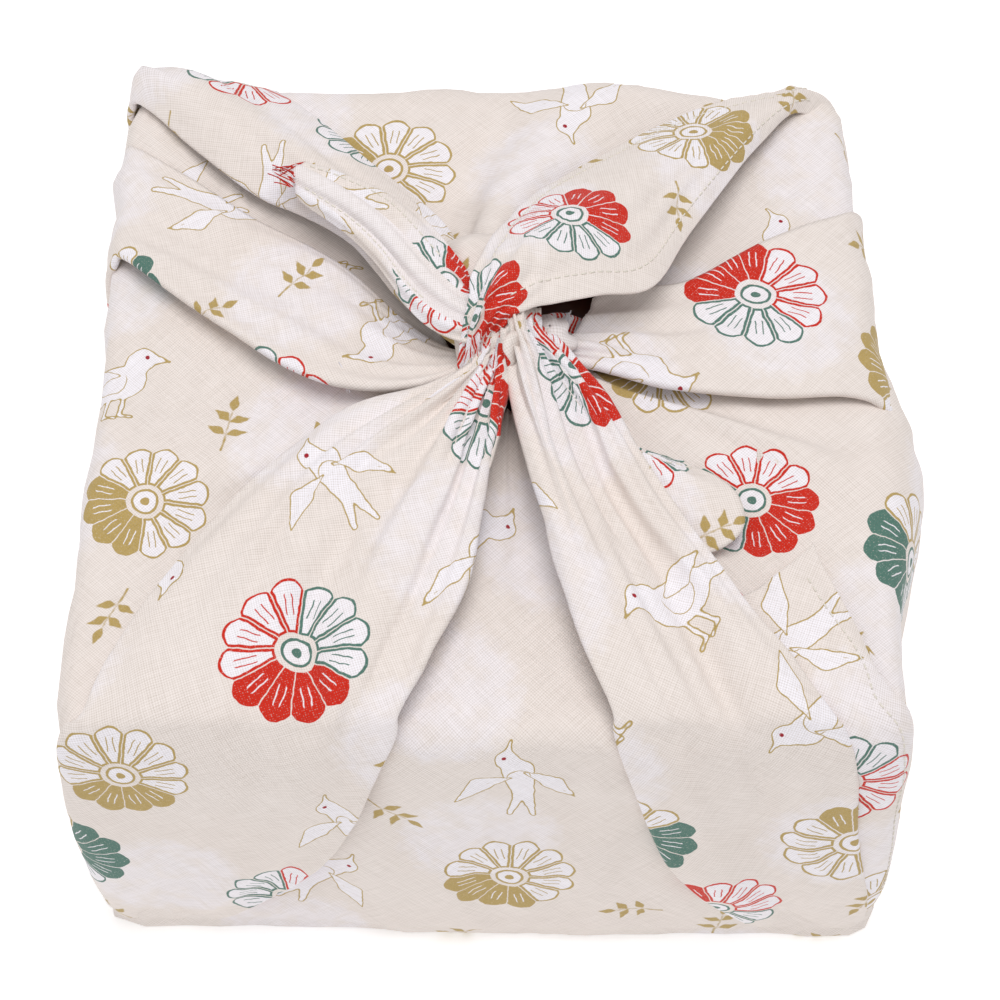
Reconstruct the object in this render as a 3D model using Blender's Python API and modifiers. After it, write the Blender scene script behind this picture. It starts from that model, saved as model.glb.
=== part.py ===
"""Furoshiki wrap: one square cloth tied over a lidded box. Metres, +Z up, front towards -Y,
origin at the bottom centre. Tables are in millimetres and degrees; turns are taken about the knot,
0 to the right (+X), 90 to the back (+Y), 270 to the front (-Y)."""

import math
from collections import namedtuple

import bmesh
import bpy

MM = 0.001

# The box and the room that the cloth leaves round it
BOX_WIDTH = 192.0
BOX_DEPTH = 200.0
BOX_FOOT = 2.0
BOX_TOP = 95.5
BOX_ROUND = 6.0
CLOTH_GAP = 2.2
SACK_SHEET = 1.6
WING_SHEET = 1.2

# The outside of the sack, the part of the cloth that goes under and round the box
HALF_X = BOX_WIDTH / 2 + CLOTH_GAP + SACK_SHEET
HALF_Y = BOX_DEPTH / 2 + CLOTH_GAP + SACK_SHEET
DECK = BOX_TOP + CLOTH_GAP + SACK_SHEET
WALL_ROUND = 8.0
BROW_DROP = 13.0
SHOULDER_IN = 12.5
RIM_IN = 1.0
RIM_DROP = 1.5
TOE_IN = 5.0
FOOT_IN = 0.1
FOOT_SHARE = 0.12
TOE_SHARE = 0.25
NEAR_SHARE = 0.28
FAR_SHARE = 0.62

# Where the cloth stands further out: the turn, its spread in degrees, and how much at foot and rim
SWELLS = (
    (280, 38, 4.2, 0.0),
    (316, 12, 2.8, 0.0),
    (95, 32, 0.0, 2.5),
)

# The middle of the whole wrap, folds and all, measured from the middle of the box
WRAP_CENTRE = (5.4, -1.9)

# How many steps a rib takes from station to station
SACK_STEPS = (2, 2, 2, 2, 1, 1, 1, 1, 1, 1)
WING_STEPS = (2, 2, 2, 2, 1, 1, 1, 1)
TAIL_STEPS = (4, 3)

# The knot
KNOT = (6.5, -2.0)
CORE_SIZE = (12.5, 12.0, 15.0)
CORE_HEIGHT = 118.0
HEM_ROLL = 2.6
HEM_ROLL_LEAST = 2.0
HEM_OPEN = 0.3
BUMP_PLACE = (16.5, 0.5, 115.0)
BUMP_SIZE = (7.5, 8.5, 9.0)
LUMP_WAVE = 0.08
LUMP_SPOKES = 16
LUMP_RINGS = 10

# One fold line: where it starts from the knot's middle, its turn at the root, a quarter out, two
# thirds out, at the lid's edge and at the foot, its rise over the deck there, and its stand-off
# from the wall.
Fold = namedtuple("Fold", "reach root near far edge foot root_up near_up far_up edge_up off")

SACK = (
    Fold(13, -11, -12, -17, -19.5, -20, 12, 8.5, 6.5, 4.5, 12.5),
    Fold(14, -2, -3, -5, -6, -7, 10, 6, 4, 2.5, 15),
    Fold(16, 15, 15, 15, 15, 15, 9, 5, 3.5, 2, 3.5),
    Fold(27, 36, 36, 38, 39, 39, 7, 5, 3.5, 2.5, 2.5),
    Fold(38, 54, 52, 51, 50, 49, 5, 4.5, 4, 4, 1.5),
    Fold(42, 72, 69, 65, 62, 61, 4.5, 4, 4, 4.5, 1.5),
    Fold(33, 101, 92, 83, 76, 76, 20, 15, 10.5, 8.5, 3.5),
    Fold(35, 110, 103, 96, 90, 90, 12, 5, 4, 5, 1.5),
    Fold(33, 121, 114, 108, 106, 106, 8, 6, 6, 6, 2.0),
    Fold(28, 134, 134, 134.5, 135, 135, 7, 5, 4.5, 4.5, 1.8),
    Fold(14, 158, 157, 152, 150, 150, 9, 6, 4, 2.2, 1.5),
    Fold(12, 190, 186, 180, 176, 176, 10, 7, 4.5, 2.5, 0.8),
    Fold(12, 202, 203, 200, 197, 197, 11, 8, 6, 4, 2.5),
    Fold(12, 212, 211, 209, 206, 205, 9, 5.5, 3, 1.2, 2.0),
    Fold(12, 224, 224, 224, 223.5, 223.5, 9, 6, 4, 3, 3.5),
    Fold(12, 245, 245, 245, 245, 243, 9, 6, 4, 2.5, 2.0),
    Fold(12, 262, 262, 262, 261, 261, 9, 6.5, 4.5, 3, 5.0),
    Fold(12, 272, 272, 272, 272, 273, 9, 5.5, 3.5, 2, 3.8),
    Fold(12, 284, 284, 284, 284, 285, 9, 6, 4, 2.5, 5.0),
    Fold(12, 300, 300, 300, 300, 301, 9, 6, 4, 2.5, 3.5),
    Fold(12, 313, 313, 313, 312.5, 312.5, 9, 6, 4, 3, 2.5),
    Fold(12, 328, 328, 327, 326, 326, 10, 6, 4, 2, 4.0),
)

LEFT_BAND = (
    Fold(12, 165, 142, 141, 141, 140, 13, 8, 6, 4.5, 2.4),
    Fold(12, 176, 152, 148, 147, 147, 14, 9.5, 7.5, 5.5, 3.2),
    Fold(12, 190, 172, 159, 153, 153, 15.5, 11.5, 9, 6, 3.8),
    Fold(12, 202, 191, 170, 158.5, 158, 17, 13.5, 11.5, 8, 4.4),
)

CORNER_ROLL = (
    Fold(12, 166, 136, 138, 136.5, 136, 18, 12, 9.5, 7, 4.0),
    Fold(12, 148, 132, 133, 134.5, 135, 22, 18, 14.5, 12, 5.5),
    Fold(12, 134, 127, 128.5, 132.5, 134, 22, 19.5, 16.5, 13.5, 5.0),
    Fold(14, 122, 117, 122, 126, 128, 20, 16.5, 12.5, 9, 4.2),
    Fold(16, 115, 109.5, 117, 121.5, 123, 17, 13, 9, 6, 3.4),
)

RIGHT_BAND = (
    Fold(14, 2, -6.5, -5.5, -2.5, -2.5, 15, 12, 9.5, 6.5, 10),
    Fold(15, 14, 6, 9, 11, 11, 17, 13.5, 10.5, 7, 6.0),
    Fold(21, 29, 20, 22, 23, 23, 17, 12, 9, 6.5, 6.4),
    Fold(29, 42, 33, 34, 33, 33, 15, 11, 8, 5.5, 5.4),
)

FRONT_LEFT = (
    Fold(14, 214, 201, 211, 224, 223.5, 18, 13.5, 9, 6.5, 6.2),
    Fold(12, 222, 214, 225, 231, 225.5, 22, 16, 12, 9.5, 7.6),
    Fold(11, 231, 229, 236, 240, 227.5, 22, 14.5, 10.5, 8, 6.0),
    Fold(11, 241, 244, 246, 247, 229.5, 24, 18.5, 14, 10.5, 7.8),
    Fold(12, 250, 252.5, 252, 251, 231, 22, 15.5, 11.5, 8, 6.0),
    Fold(15, 261, 261, 260, 255, 232.5, 24, 18, 13.5, 9.5, 7.0),
)

FRONT_RIGHT = (
    Fold(3, 262, 277, 280, 283.5, 301.5, 29, 18.5, 14, 9.5, 7.2),
    Fold(4, 285, 285.5, 287, 289, 303.5, 31, 22, 16, 11, 8.4),
    Fold(5, 305, 294, 293.5, 293.5, 305, 30.5, 17.5, 13, 9, 6.4),
    Fold(6, 320, 303, 300.5, 298, 306, 29, 13, 9.5, 6, 5.0),
    Fold(7, 335, 310, 305.5, 303, 309, 28, 17, 13.5, 10.5, 7.4),
    Fold(9, 350, 317, 309, 307, 312, 25, 14.5, 12, 8, 6.6),
)

RIGHT_FLAP = (
    Fold(84, 304, 304, 304, 304, 309.5, 6.5, 6.5, 6, 5, 4.4),
    Fold(88, 311, 310, 309, 308.5, 311, 8, 7.5, 7, 6, 4.8),
    Fold(90, 318, 316, 313.5, 311.5, 313.5, 9.5, 8.5, 8, 6.5, 5.4),
    Fold(91, 324, 320.5, 317, 314.5, 315.5, 9.5, 8.5, 7, 5.5, 5.0),
)

# A loose end that lies on top: how far out its root, middle and tip are, their turns and rises
Tail = namedtuple("Tail", "root_reach root mid_reach mid tip_reach tip root_up mid_up tip_up")

LEFT_TAIL = (
    Tail(12, 186, 40, 145, 76, 137.5, 24, 22.5, 18),
    Tail(11, 160, 43, 138, 82, 135, 27, 26, 21.5),
    Tail(14, 136, 46, 129, 83, 132, 28, 27, 22),
    Tail(24, 119, 46, 120, 80, 129.5, 26, 24, 19),
)

RIGHT_TAIL = (
    Tail(26, 304, 48, 304, 70, 306, 9, 8, 7),
    Tail(26, 307, 50, 309, 75, 314.5, 12, 11.5, 8.5),
    Tail(27, 311, 49, 314, 74, 321, 13, 13, 9.5),
    Tail(28, 315, 46, 319, 65, 326.5, 13, 12.5, 9.5),
    Tail(30, 318, 41, 322, 51, 327.5, 10.5, 10.5, 8.5),
)

# The wing that crosses the knot, cut across at places from its tuck to the foot of the far right
# corner: its stitched edge, its crown and its folded edge, each as x, y and z
Section = namedtuple("Section", "x_low y_low z_low x_crown y_crown z_crown x_high y_high z_high")

BACK_WING = (
    Section(0, -12, 114, -3, -11.5, 117, -6.5, -9.5, 114),
    Section(0.5, -7.5, 124.5, -3, -5.5, 127.5, -6, -3, 123.5),
    Section(5, -4.5, 131, 0.5, -0.5, 134.5, -5, 2, 128.5),
    Section(11.5, -1.5, 133.5, 4.5, 5.5, 138.2, -2.5, 10.5, 131.5),
    Section(19, 2, 132, 11.5, 15.5, 137.5, 2.5, 28, 128),
    Section(29, 7, 128.5, 22, 28, 133, 16, 54, 117.5),
    Section(43.4, 15.5, 122.5, 37, 43, 126, 41, 78, 111),
    Section(56, 43, 115, 55, 63, 118.5, 63, 94, 107.5),
    Section(75, 77, 109, 77, 88, 112, 80, 100, 106.5),
    Section(89, 94, 104.5, 91, 99.5, 107, 87, 103.5, 104.5),
    Section(103, 92, 87, 100.5, 105, 89, 91, 108.5, 87),
    Section(103, 93, 50, 100.5, 104.5, 50, 91, 107.5, 50),
    Section(100, 94, 5, 97.6, 101.6, 5, 90, 104, 5),
)


def mix(a, b, share):
    return a + (b - a) * share


def smooth(points, steps):
    """A Catmull-Rom curve through tuples of any length; steps is a count for each span, or one for all."""
    last = len(points) - 1
    counts = steps if isinstance(steps, tuple) else (steps,) * last
    curve = []
    for i, count in enumerate(counts):
        corners = [points[min(max(j, 0), last)] for j in (i - 1, i, i + 1, i + 2)]
        for k in range(count):
            t = k / count
            curve.append(tuple(
                0.5 * (2 * b + (c - a) * t + (2 * a - 5 * b + 4 * c - d) * t**2
                       + (3 * b - a - 3 * c + d) * t**3)
                for a, b, c, d in zip(*corners)
            ))
    return curve + [tuple(points[-1])]


def wall_reach(turn):
    """How far the sack's outline is from the knot's middle at this turn, found by halving."""
    step = (math.cos(math.radians(turn)), math.sin(math.radians(turn)))
    inside, outside = 60.0, 170.0
    for _ in range(24):
        middle = (inside + outside) / 2
        dx = abs(KNOT[0] + middle * step[0]) - (HALF_X - WALL_ROUND)
        dy = abs(KNOT[1] + middle * step[1]) - (HALF_Y - WALL_ROUND)
        past = math.hypot(max(dx, 0), max(dy, 0)) + min(max(dx, dy), 0) - WALL_ROUND
        if past > 0:
            outside = middle
        else:
            inside = middle
    return inside


def at(turn, reach, height):
    angle = math.radians(turn)
    return (KNOT[0] + reach * math.cos(angle), KNOT[1] + reach * math.sin(angle), max(height, 0.0))


def swell(turn, height):
    """How much further out the cloth stands at this turn, at the foot and at the rim."""
    low = max(0.0, 1 - height / (0.6 * DECK)) ** 0.7
    high = min(max((height - 0.7 * DECK) / (0.25 * DECK), 0.0), 1.0)
    extra = 0.0
    for middle, spread, foot, rim in SWELLS:
        away = ((turn - middle + 180) % 360 - 180) / spread
        extra += (foot * low + rim * high) * math.exp(-away * away)
    return extra


def place(station):
    """The point of one station: its turn, root reach, share of the way to the wall, extra and height."""
    turn, reach, share, extra, height = station
    extra += swell(turn, height) * share
    return at(turn, mix(reach, wall_reach(turn), share) + extra, height)


def top_route(fold):
    """A fold line's stations from its root over the deck to the middle of the wall."""
    slide = fold.foot - fold.edge
    return [
        (fold.root, fold.reach, 0.0, 0.0, DECK + fold.root_up),
        (fold.near, fold.reach, NEAR_SHARE, 0.0, DECK + fold.near_up),
        (fold.far, fold.reach, FAR_SHARE, 0.0, DECK + fold.far_up),
        (fold.edge, fold.reach, 1.0, 0.8 * fold.edge_up - SHOULDER_IN, DECK + fold.edge_up),
        (fold.edge, fold.reach, 1.0, 0.5 * fold.off - RIM_IN, DECK + 0.45 * fold.edge_up - RIM_DROP),
        (fold.edge + 0.1 * slide, fold.reach, 1.0, 0.9 * fold.off, DECK - BROW_DROP),
        (fold.edge + 0.35 * slide, fold.reach, 1.0, fold.off, DECK / 2),
    ]


def wing_route(fold):
    """A wing's fold line, down to where it goes into the wall at the foot."""
    slide = fold.foot - fold.edge
    return top_route(fold) + [
        (fold.edge + 0.75 * slide, fold.reach, 1.0, 0.6 * fold.off, 0.2 * DECK),
        (fold.foot, fold.reach, 1.0, FOOT_SHARE * fold.off - FOOT_IN, TOE_IN),
    ]


def sack_route(fold):
    """The sack's fold line, down the wall and under the box."""
    return top_route(fold) + [
        (fold.foot, fold.reach, 1.0, 0.8 * fold.off, 0.2 * DECK),
        (fold.foot, fold.reach, 1.0, TOE_SHARE * fold.off, TOE_IN),
        (fold.foot, fold.reach, 1.0, -TOE_IN, 0.0),
        (fold.foot, fold.reach, 0.5, 0.0, 0.0),
    ]


def wing_ribs(folds, across, along):
    """Ribs of points, side by side from the first fold line to the last, each from root to foot."""
    return [
        [place(station) for station in smooth(wing_route(Fold(*row)), along)]
        for row in smooth(folds, across)
    ]


def turned(fold, whole):
    """The same fold line with all its turns a whole turn further."""
    turns = ("root", "near", "far", "edge", "foot")
    return fold._replace(**{name: getattr(fold, name) + whole for name in turns})


def sack_ribs(folds, across, along):
    """The sack's ribs all the way round."""
    ring = (turned(folds[-1], -360),) + folds + (turned(folds[0], 360), turned(folds[1], 360))
    rows = smooth(ring, across)[across:across * (len(folds) + 1)]
    return [[place(station) for station in smooth(sack_route(Fold(*row)), along)] for row in rows]


def tail_ribs(tails, across, along):
    ribs = []
    for row in smooth(tails, across):
        tail = Tail(*row)
        route = [
            (tail.root, tail.root_reach, DECK + tail.root_up),
            (tail.mid, tail.mid_reach, DECK + tail.mid_up),
            (tail.tip, tail.tip_reach, DECK + tail.tip_up),
        ]
        ribs.append([at(*station) for station in smooth(route, along)])
    return ribs


def section_ribs(sections, across, along):
    """Ribs along the sections, side by side from their low edge to their high edge."""
    cuts = []
    for row in smooth(sections, along):
        cut = Section(*row)
        cuts.append(smooth([
            (cut.x_low, cut.y_low, cut.z_low),
            (cut.x_crown, cut.y_crown, cut.z_crown),
            (cut.x_high, cut.y_high, cut.z_high),
        ], across))
    return [list(rib) for rib in zip(*cuts)]


def minus(a, b):
    return tuple(p - q for p, q in zip(a, b))


def plus(a, b, size):
    return tuple(p + q * size for p, q in zip(a, b))


def cross(a, b):
    return (a[1] * b[2] - a[2] * b[1], a[2] * b[0] - a[0] * b[2], a[0] * b[1] - a[1] * b[0])


def unit(a):
    length = math.hypot(*a) or 1.0
    return tuple(p / length for p in a)


def hem(edge, inner, side):
    """Ribs that carry a wing's edge round and down as a soft roll, which opens out towards the foot;
    side is 1 after it, -1 before it."""
    last = len(edge) - 1
    rolls = ([], [])
    for j, point in enumerate(edge):
        ahead = minus(edge[min(j + 1, last)], edge[max(j - 1, 0)])
        out = unit(minus(point, inner[j]))
        up = unit(cross(ahead, out) if side > 0 else cross(out, ahead))
        roll = max(HEM_ROLL * (1 - j / last), HEM_ROLL_LEAST)
        bend = 1.0 if point[2] > DECK else HEM_OPEN
        middle = plus(point, up, -roll)
        for rib, angle in zip(rolls, (45, 95)):
            swing = math.radians(angle * bend)
            rib.append(plus(plus(middle, up, roll * math.cos(swing)), out, roll * math.sin(swing)))
    return list(rolls)


def hemmed(ribs, first=True, last=True):
    """The ribs with their side edges rolled down, but for an edge that another layer covers."""
    before = hem(ribs[0], ribs[1], -1)[::-1] if first else []
    after = hem(ribs[-1], ribs[-2], 1) if last else []
    return before + ribs + after


def cloth_material():
    material = bpy.data.materials.new("printed_cotton")
    material.use_nodes = True
    shader = material.node_tree.nodes["Principled BSDF"]
    shader.inputs["Base Color"].default_value = (0.84, 0.79, 0.68, 1.0)
    shader.inputs["Roughness"].default_value = 0.85
    return material


def lacquer_material():
    material = bpy.data.materials.new("brown_lacquer")
    material.use_nodes = True
    shader = material.node_tree.nodes["Principled BSDF"]
    shader.inputs["Base Color"].default_value = (0.10, 0.03, 0.015, 1.0)
    shader.inputs["Roughness"].default_value = 0.35
    return material


def centred(point):
    """A point of the tables in metres, from the middle of the whole wrap."""
    return ((point[0] - WRAP_CENTRE[0]) * MM, (point[1] - WRAP_CENTRE[1]) * MM, point[2] * MM)


def add_mesh(name, points, faces, collection):
    mesh = bpy.data.meshes.new(name)
    mesh.from_pydata([centred(point) for point in points], [], faces)
    obj = bpy.data.objects.new(name, mesh)
    collection.objects.link(obj)
    return obj


def add_sheet(name, ribs, thick, collection, ring=False):
    """A sheet through the ribs, thickened on its inner side; a ring is closed round and underneath."""
    count = len(ribs[0])
    points = [point for rib in ribs for point in rib]
    faces = []
    for i in range(len(ribs) if ring else len(ribs) - 1):
        this, after = i * count, (i + 1) % len(ribs) * count
        faces += [(this + j, this + j + 1, after + j + 1, after + j) for j in range(count - 1)]
        if ring:
            faces.append((this + count - 1, len(points), after + count - 1))
    if ring:
        points.append((0.0, 0.0, 0.0))
    obj = add_mesh(name, points, faces, collection)
    shell = obj.modifiers.new("thickness", "SOLIDIFY")
    shell.thickness = thick * MM
    shell.offset = -1.0
    return obj


def add_lump(name, middle, size, collection):
    """A lumpy ball of gathered cloth."""
    ball = bmesh.new()
    bmesh.ops.create_uvsphere(ball, u_segments=LUMP_SPOKES, v_segments=LUMP_RINGS, radius=1.0)
    for vert in ball.verts:
        turn = math.atan2(vert.co.y, vert.co.x)
        swell = 1 + LUMP_WAVE * (math.sin(3 * turn + 2.5 * vert.co.z) + 0.5 * math.cos(5 * turn))
        vert.co = centred((
            middle[0] + size[0] * vert.co.x * swell,
            middle[1] + size[1] * vert.co.y * swell,
            middle[2] + size[2] * vert.co.z,
        ))
    mesh = bpy.data.meshes.new(name)
    ball.to_mesh(mesh)
    ball.free()
    obj = bpy.data.objects.new(name, mesh)
    collection.objects.link(obj)
    return obj


def join_to(body, piece):
    union = body.modifiers.new("join_" + piece.name, "BOOLEAN")
    union.operation = "UNION"
    union.solver = "EXACT"
    union.use_self = True
    union.object = piece
    piece.hide_render = True
    piece.display_type = "WIRE"


def build_box(collection):
    """The lidded box, plain, as one closed block with soft edges."""
    low, high = centred((0, 0, BOX_FOOT)), centred((0, 0, BOX_TOP))
    bpy.ops.mesh.primitive_cube_add(size=1.0, location=(low[0], low[1], (low[2] + high[2]) / 2))
    box = bpy.context.object
    box.name = "box"
    box.dimensions = (BOX_WIDTH * MM, BOX_DEPTH * MM, high[2] - low[2])
    bpy.ops.object.transform_apply(location=False, rotation=False, scale=True)
    edge = box.modifiers.new("soft_edges", "BEVEL")
    edge.width = BOX_ROUND * MM
    edge.segments = 3
    box.data.materials.append(lacquer_material())
    for home in list(box.users_collection):
        home.objects.unlink(box)
    collection.objects.link(box)


def build_cloth(collection):
    cloth = add_sheet("cloth", sack_ribs(SACK, 2, SACK_STEPS), SACK_SHEET, collection, ring=True)
    cloth.data.materials.append(cloth_material())
    wings = (
        ("left_band", hemmed(wing_ribs(LEFT_BAND, 3, WING_STEPS), first=False)),
        ("corner_roll", hemmed(wing_ribs(CORNER_ROLL, 2, WING_STEPS))),
        ("right_band", hemmed(wing_ribs(RIGHT_BAND, 3, WING_STEPS), last=False)),
        ("front_left", hemmed(wing_ribs(FRONT_LEFT, 3, WING_STEPS))),
        ("right_flap", hemmed(wing_ribs(RIGHT_FLAP, 2, WING_STEPS), first=False)),
        ("front_right", hemmed(wing_ribs(FRONT_RIGHT, 3, WING_STEPS))),
        ("left_tail", hemmed(tail_ribs(LEFT_TAIL, 3, TAIL_STEPS))),
        ("right_tail", hemmed(tail_ribs(RIGHT_TAIL, 2, TAIL_STEPS))),
        ("back_wing", hemmed(section_ribs(BACK_WING, 3, 2))),
    )
    pieces = [add_sheet(name, ribs, WING_SHEET, collection) for name, ribs in wings]
    pieces += [
        add_lump("knot_core", (*KNOT, CORE_HEIGHT), CORE_SIZE, collection),
        add_lump("knot_bump", BUMP_PLACE, BUMP_SIZE, collection),
    ]
    for piece in pieces:
        join_to(cloth, piece)


def main():
    for obj in list(bpy.data.objects):
        bpy.data.objects.remove(obj)
    collection = bpy.data.collections.new("furoshiki_wrap")
    bpy.context.scene.collection.children.link(collection)
    build_cloth(collection)
    build_box(collection)


main()
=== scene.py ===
import math
from collections import namedtuple
from functools import lru_cache

import bpy
import numpy as np
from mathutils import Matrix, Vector, noise


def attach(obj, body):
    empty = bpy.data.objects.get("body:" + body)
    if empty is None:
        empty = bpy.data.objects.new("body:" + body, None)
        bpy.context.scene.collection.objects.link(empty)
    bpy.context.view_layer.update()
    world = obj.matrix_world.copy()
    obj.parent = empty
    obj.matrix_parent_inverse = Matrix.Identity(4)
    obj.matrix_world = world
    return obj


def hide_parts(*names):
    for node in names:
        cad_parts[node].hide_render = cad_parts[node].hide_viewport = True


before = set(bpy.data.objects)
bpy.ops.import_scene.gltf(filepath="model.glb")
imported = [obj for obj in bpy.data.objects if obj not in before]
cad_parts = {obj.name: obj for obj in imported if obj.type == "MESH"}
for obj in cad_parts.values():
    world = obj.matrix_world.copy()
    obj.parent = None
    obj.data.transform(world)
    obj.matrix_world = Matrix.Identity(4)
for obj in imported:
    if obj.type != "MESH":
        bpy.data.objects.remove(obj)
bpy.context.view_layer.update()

bl_info = {
    "name": "Furoshiki wrap",
    "version": (1, 0, 0),
    "blender": (4, 5, 0),
    "location": "View3D > Sidebar > Furoshiki",
    "description": "Folds, prints and lights a square cotton cloth tied over a lidded box",
    "category": "Object",
}

# Tables are in millimetres and degrees. Turns are taken about the knot, 0 to the right (+X),
# 90 to the back (+Y), 270 to the front (-Y).
MM = 0.001

# The box and the room that the cloth leaves round it
BOX_WIDTH = 192.0
BOX_DEPTH = 200.0
BOX_TOP = 95.5
CLOTH_GAP = 2.2
SACK_SHEET = 1.6
HALF_X = BOX_WIDTH / 2 + CLOTH_GAP + SACK_SHEET
HALF_Y = BOX_DEPTH / 2 + CLOTH_GAP + SACK_SHEET
DECK = BOX_TOP + CLOTH_GAP + SACK_SHEET
WALL_ROUND = 8.0
BROW_DROP = 13.0
SHOULDER_IN = 12.5
RIM_IN = 1.0
RIM_DROP = 1.5
TOE_IN = 5.0
FOOT_IN = 0.1
FOOT_SHARE = 0.12
TOE_SHARE = 0.25
NEAR_SHARE = 0.28
FAR_SHARE = 0.62

# Where the cloth stands further out: the turn, its spread in degrees, and how much at foot and rim
SWELLS = (
    (280, 38, 4.2, 0.0),
    (316, 12, 2.8, 0.0),
    (95, 32, 0.0, 2.5),
)
WRAP_CENTRE = (5.4, -1.9)
KNOT = (6.5, -2.0)
INNER_GAP = 1.7

# One fold line: where it starts from the knot's middle, its turn at the root, a quarter out, two
# thirds out, at the box's edge and at the foot, its height over the deck at the first four, and
# how far it stands off the wall
Fold = namedtuple("Fold", "reach root near far edge foot root_up near_up far_up edge_up off")

SACK = (
    Fold(13, -11, -12, -17, -19.5, -20, 12, 8.5, 6.5, 4.5, 12.5),
    Fold(14, -2, -3, -5, -6, -7, 10, 6, 4, 2.5, 15),
    Fold(16, 15, 15, 15, 15, 15, 9, 5, 3.5, 2, 3.5),
    Fold(27, 36, 36, 38, 39, 39, 7, 5, 3.5, 2.5, 2.5),
    Fold(38, 54, 52, 51, 50, 49, 5, 4.5, 4, 4, 1.5),
    Fold(42, 72, 69, 65, 62, 61, 4.5, 4, 4, 4.5, 1.5),
    Fold(33, 101, 92, 83, 76, 76, 20, 15, 10.5, 8.5, 3.5),
    Fold(35, 110, 103, 96, 90, 90, 12, 5, 4, 5, 1.5),
    Fold(33, 121, 114, 108, 106, 106, 8, 6, 6, 6, 2.0),
    Fold(28, 134, 134, 134.5, 135, 135, 7, 5, 4.5, 4.5, 1.8),
    Fold(14, 158, 157, 152, 150, 150, 9, 6, 4, 2.2, 1.5),
    Fold(12, 190, 186, 180, 176, 176, 10, 7, 4.5, 2.5, 0.8),
    Fold(12, 202, 203, 200, 197, 197, 11, 8, 6, 4, 2.5),
    Fold(12, 212, 211, 209, 206, 205, 9, 5.5, 3, 1.2, 2.0),
    Fold(12, 224, 224, 224, 223.5, 223.5, 9, 6, 4, 3, 3.5),
    Fold(12, 245, 245, 245, 245, 243, 9, 6, 4, 2.5, 2.0),
    Fold(12, 262, 262, 262, 261, 261, 9, 6.5, 4.5, 3, 5.0),
    Fold(12, 272, 272, 272, 272, 273, 9, 5.5, 3.5, 2, 3.8),
    Fold(12, 284, 284, 284, 284, 285, 9, 6, 4, 2.5, 5.0),
    Fold(12, 300, 300, 300, 300, 301, 9, 6, 4, 2.5, 3.5),
    Fold(12, 313, 313, 313, 312.5, 312.5, 9, 6, 4, 3, 2.5),
    Fold(12, 328, 328, 327, 326, 326, 10, 6, 4, 2, 4.0),
)

LEFT_BAND = (
    Fold(12, 165, 142, 141, 141, 140, 13, 8, 6, 4.5, 2.4),
    Fold(12, 176, 152, 148, 147, 147, 14, 9.5, 7.5, 5.5, 3.2),
    Fold(12, 190, 172, 159, 153, 153, 15.5, 11.5, 9, 6, 3.8),
    Fold(12, 202, 191, 170, 158.5, 158, 17, 13.5, 11.5, 8, 4.4),
)

CORNER_ROLL = (
    Fold(12, 166, 136, 138, 136.5, 136, 18, 12, 9.5, 7, 4.0),
    Fold(12, 148, 132, 133, 134.5, 135, 22, 18, 14.5, 12, 5.5),
    Fold(12, 134, 127, 128.5, 132.5, 134, 22, 19.5, 16.5, 13.5, 5.0),
    Fold(14, 122, 117, 122, 126, 128, 20, 16.5, 12.5, 9, 4.2),
    Fold(16, 115, 109.5, 117, 121.5, 123, 17, 13, 9, 6, 3.4),
)

RIGHT_BAND = (
    Fold(14, 2, -6.5, -5.5, -2.5, -2.5, 15, 12, 9.5, 6.5, 10),
    Fold(15, 14, 6, 9, 11, 11, 17, 13.5, 10.5, 7, 6.0),
    Fold(21, 29, 20, 22, 23, 23, 17, 12, 9, 6.5, 6.4),
    Fold(29, 42, 33, 34, 33, 33, 15, 11, 8, 5.5, 5.4),
)

FRONT_LEFT = (
    Fold(14, 214, 201, 211, 224, 223.5, 18, 13.5, 9, 6.5, 6.2),
    Fold(12, 222, 214, 225, 231, 225.5, 22, 16, 12, 9.5, 7.6),
    Fold(11, 231, 229, 236, 240, 227.5, 22, 14.5, 10.5, 8, 6.0),
    Fold(11, 241, 244, 246, 247, 229.5, 24, 18.5, 14, 10.5, 7.8),
    Fold(12, 250, 252.5, 252, 251, 231, 22, 15.5, 11.5, 8, 6.0),
    Fold(15, 261, 261, 260, 255, 232.5, 24, 18, 13.5, 9.5, 7.0),
)

FRONT_RIGHT = (
    Fold(3, 262, 277, 280, 283.5, 301.5, 29, 18.5, 14, 9.5, 7.2),
    Fold(4, 285, 285.5, 287, 289, 303.5, 31, 22, 16, 11, 8.4),
    Fold(5, 305, 294, 293.5, 293.5, 305, 30.5, 17.5, 13, 9, 6.4),
    Fold(6, 320, 303, 300.5, 298, 306, 29, 13, 9.5, 6, 5.0),
    Fold(7, 335, 310, 305.5, 303, 309, 28, 17, 13.5, 10.5, 7.4),
    Fold(9, 350, 317, 309, 307, 312, 25, 14.5, 12, 8, 6.6),
)

RIGHT_FLAP = (
    Fold(84, 304, 304, 304, 304, 309.5, 6.5, 6.5, 6, 5, 4.4),
    Fold(88, 311, 310, 309, 308.5, 311, 8, 7.5, 7, 6, 4.8),
    Fold(90, 318, 316, 313.5, 311.5, 313.5, 9.5, 8.5, 8, 6.5, 5.4),
    Fold(91, 324, 320.5, 317, 314.5, 315.5, 9.5, 8.5, 7, 5.5, 5.0),
)

# One fold line of a loose tail: its reach and turn at the root, the middle and the tip, and its
# height over the deck there
Tail = namedtuple("Tail", "root_reach root mid_reach mid tip_reach tip root_up mid_up tip_up")

LEFT_TAIL = (
    Tail(12, 186, 40, 145, 76, 137.5, 24, 22.5, 18),
    Tail(11, 160, 43, 138, 82, 135, 27, 26, 21.5),
    Tail(14, 136, 46, 129, 83, 132, 28, 27, 22),
    Tail(24, 119, 46, 120, 80, 129.5, 26, 24, 19),
)

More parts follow.
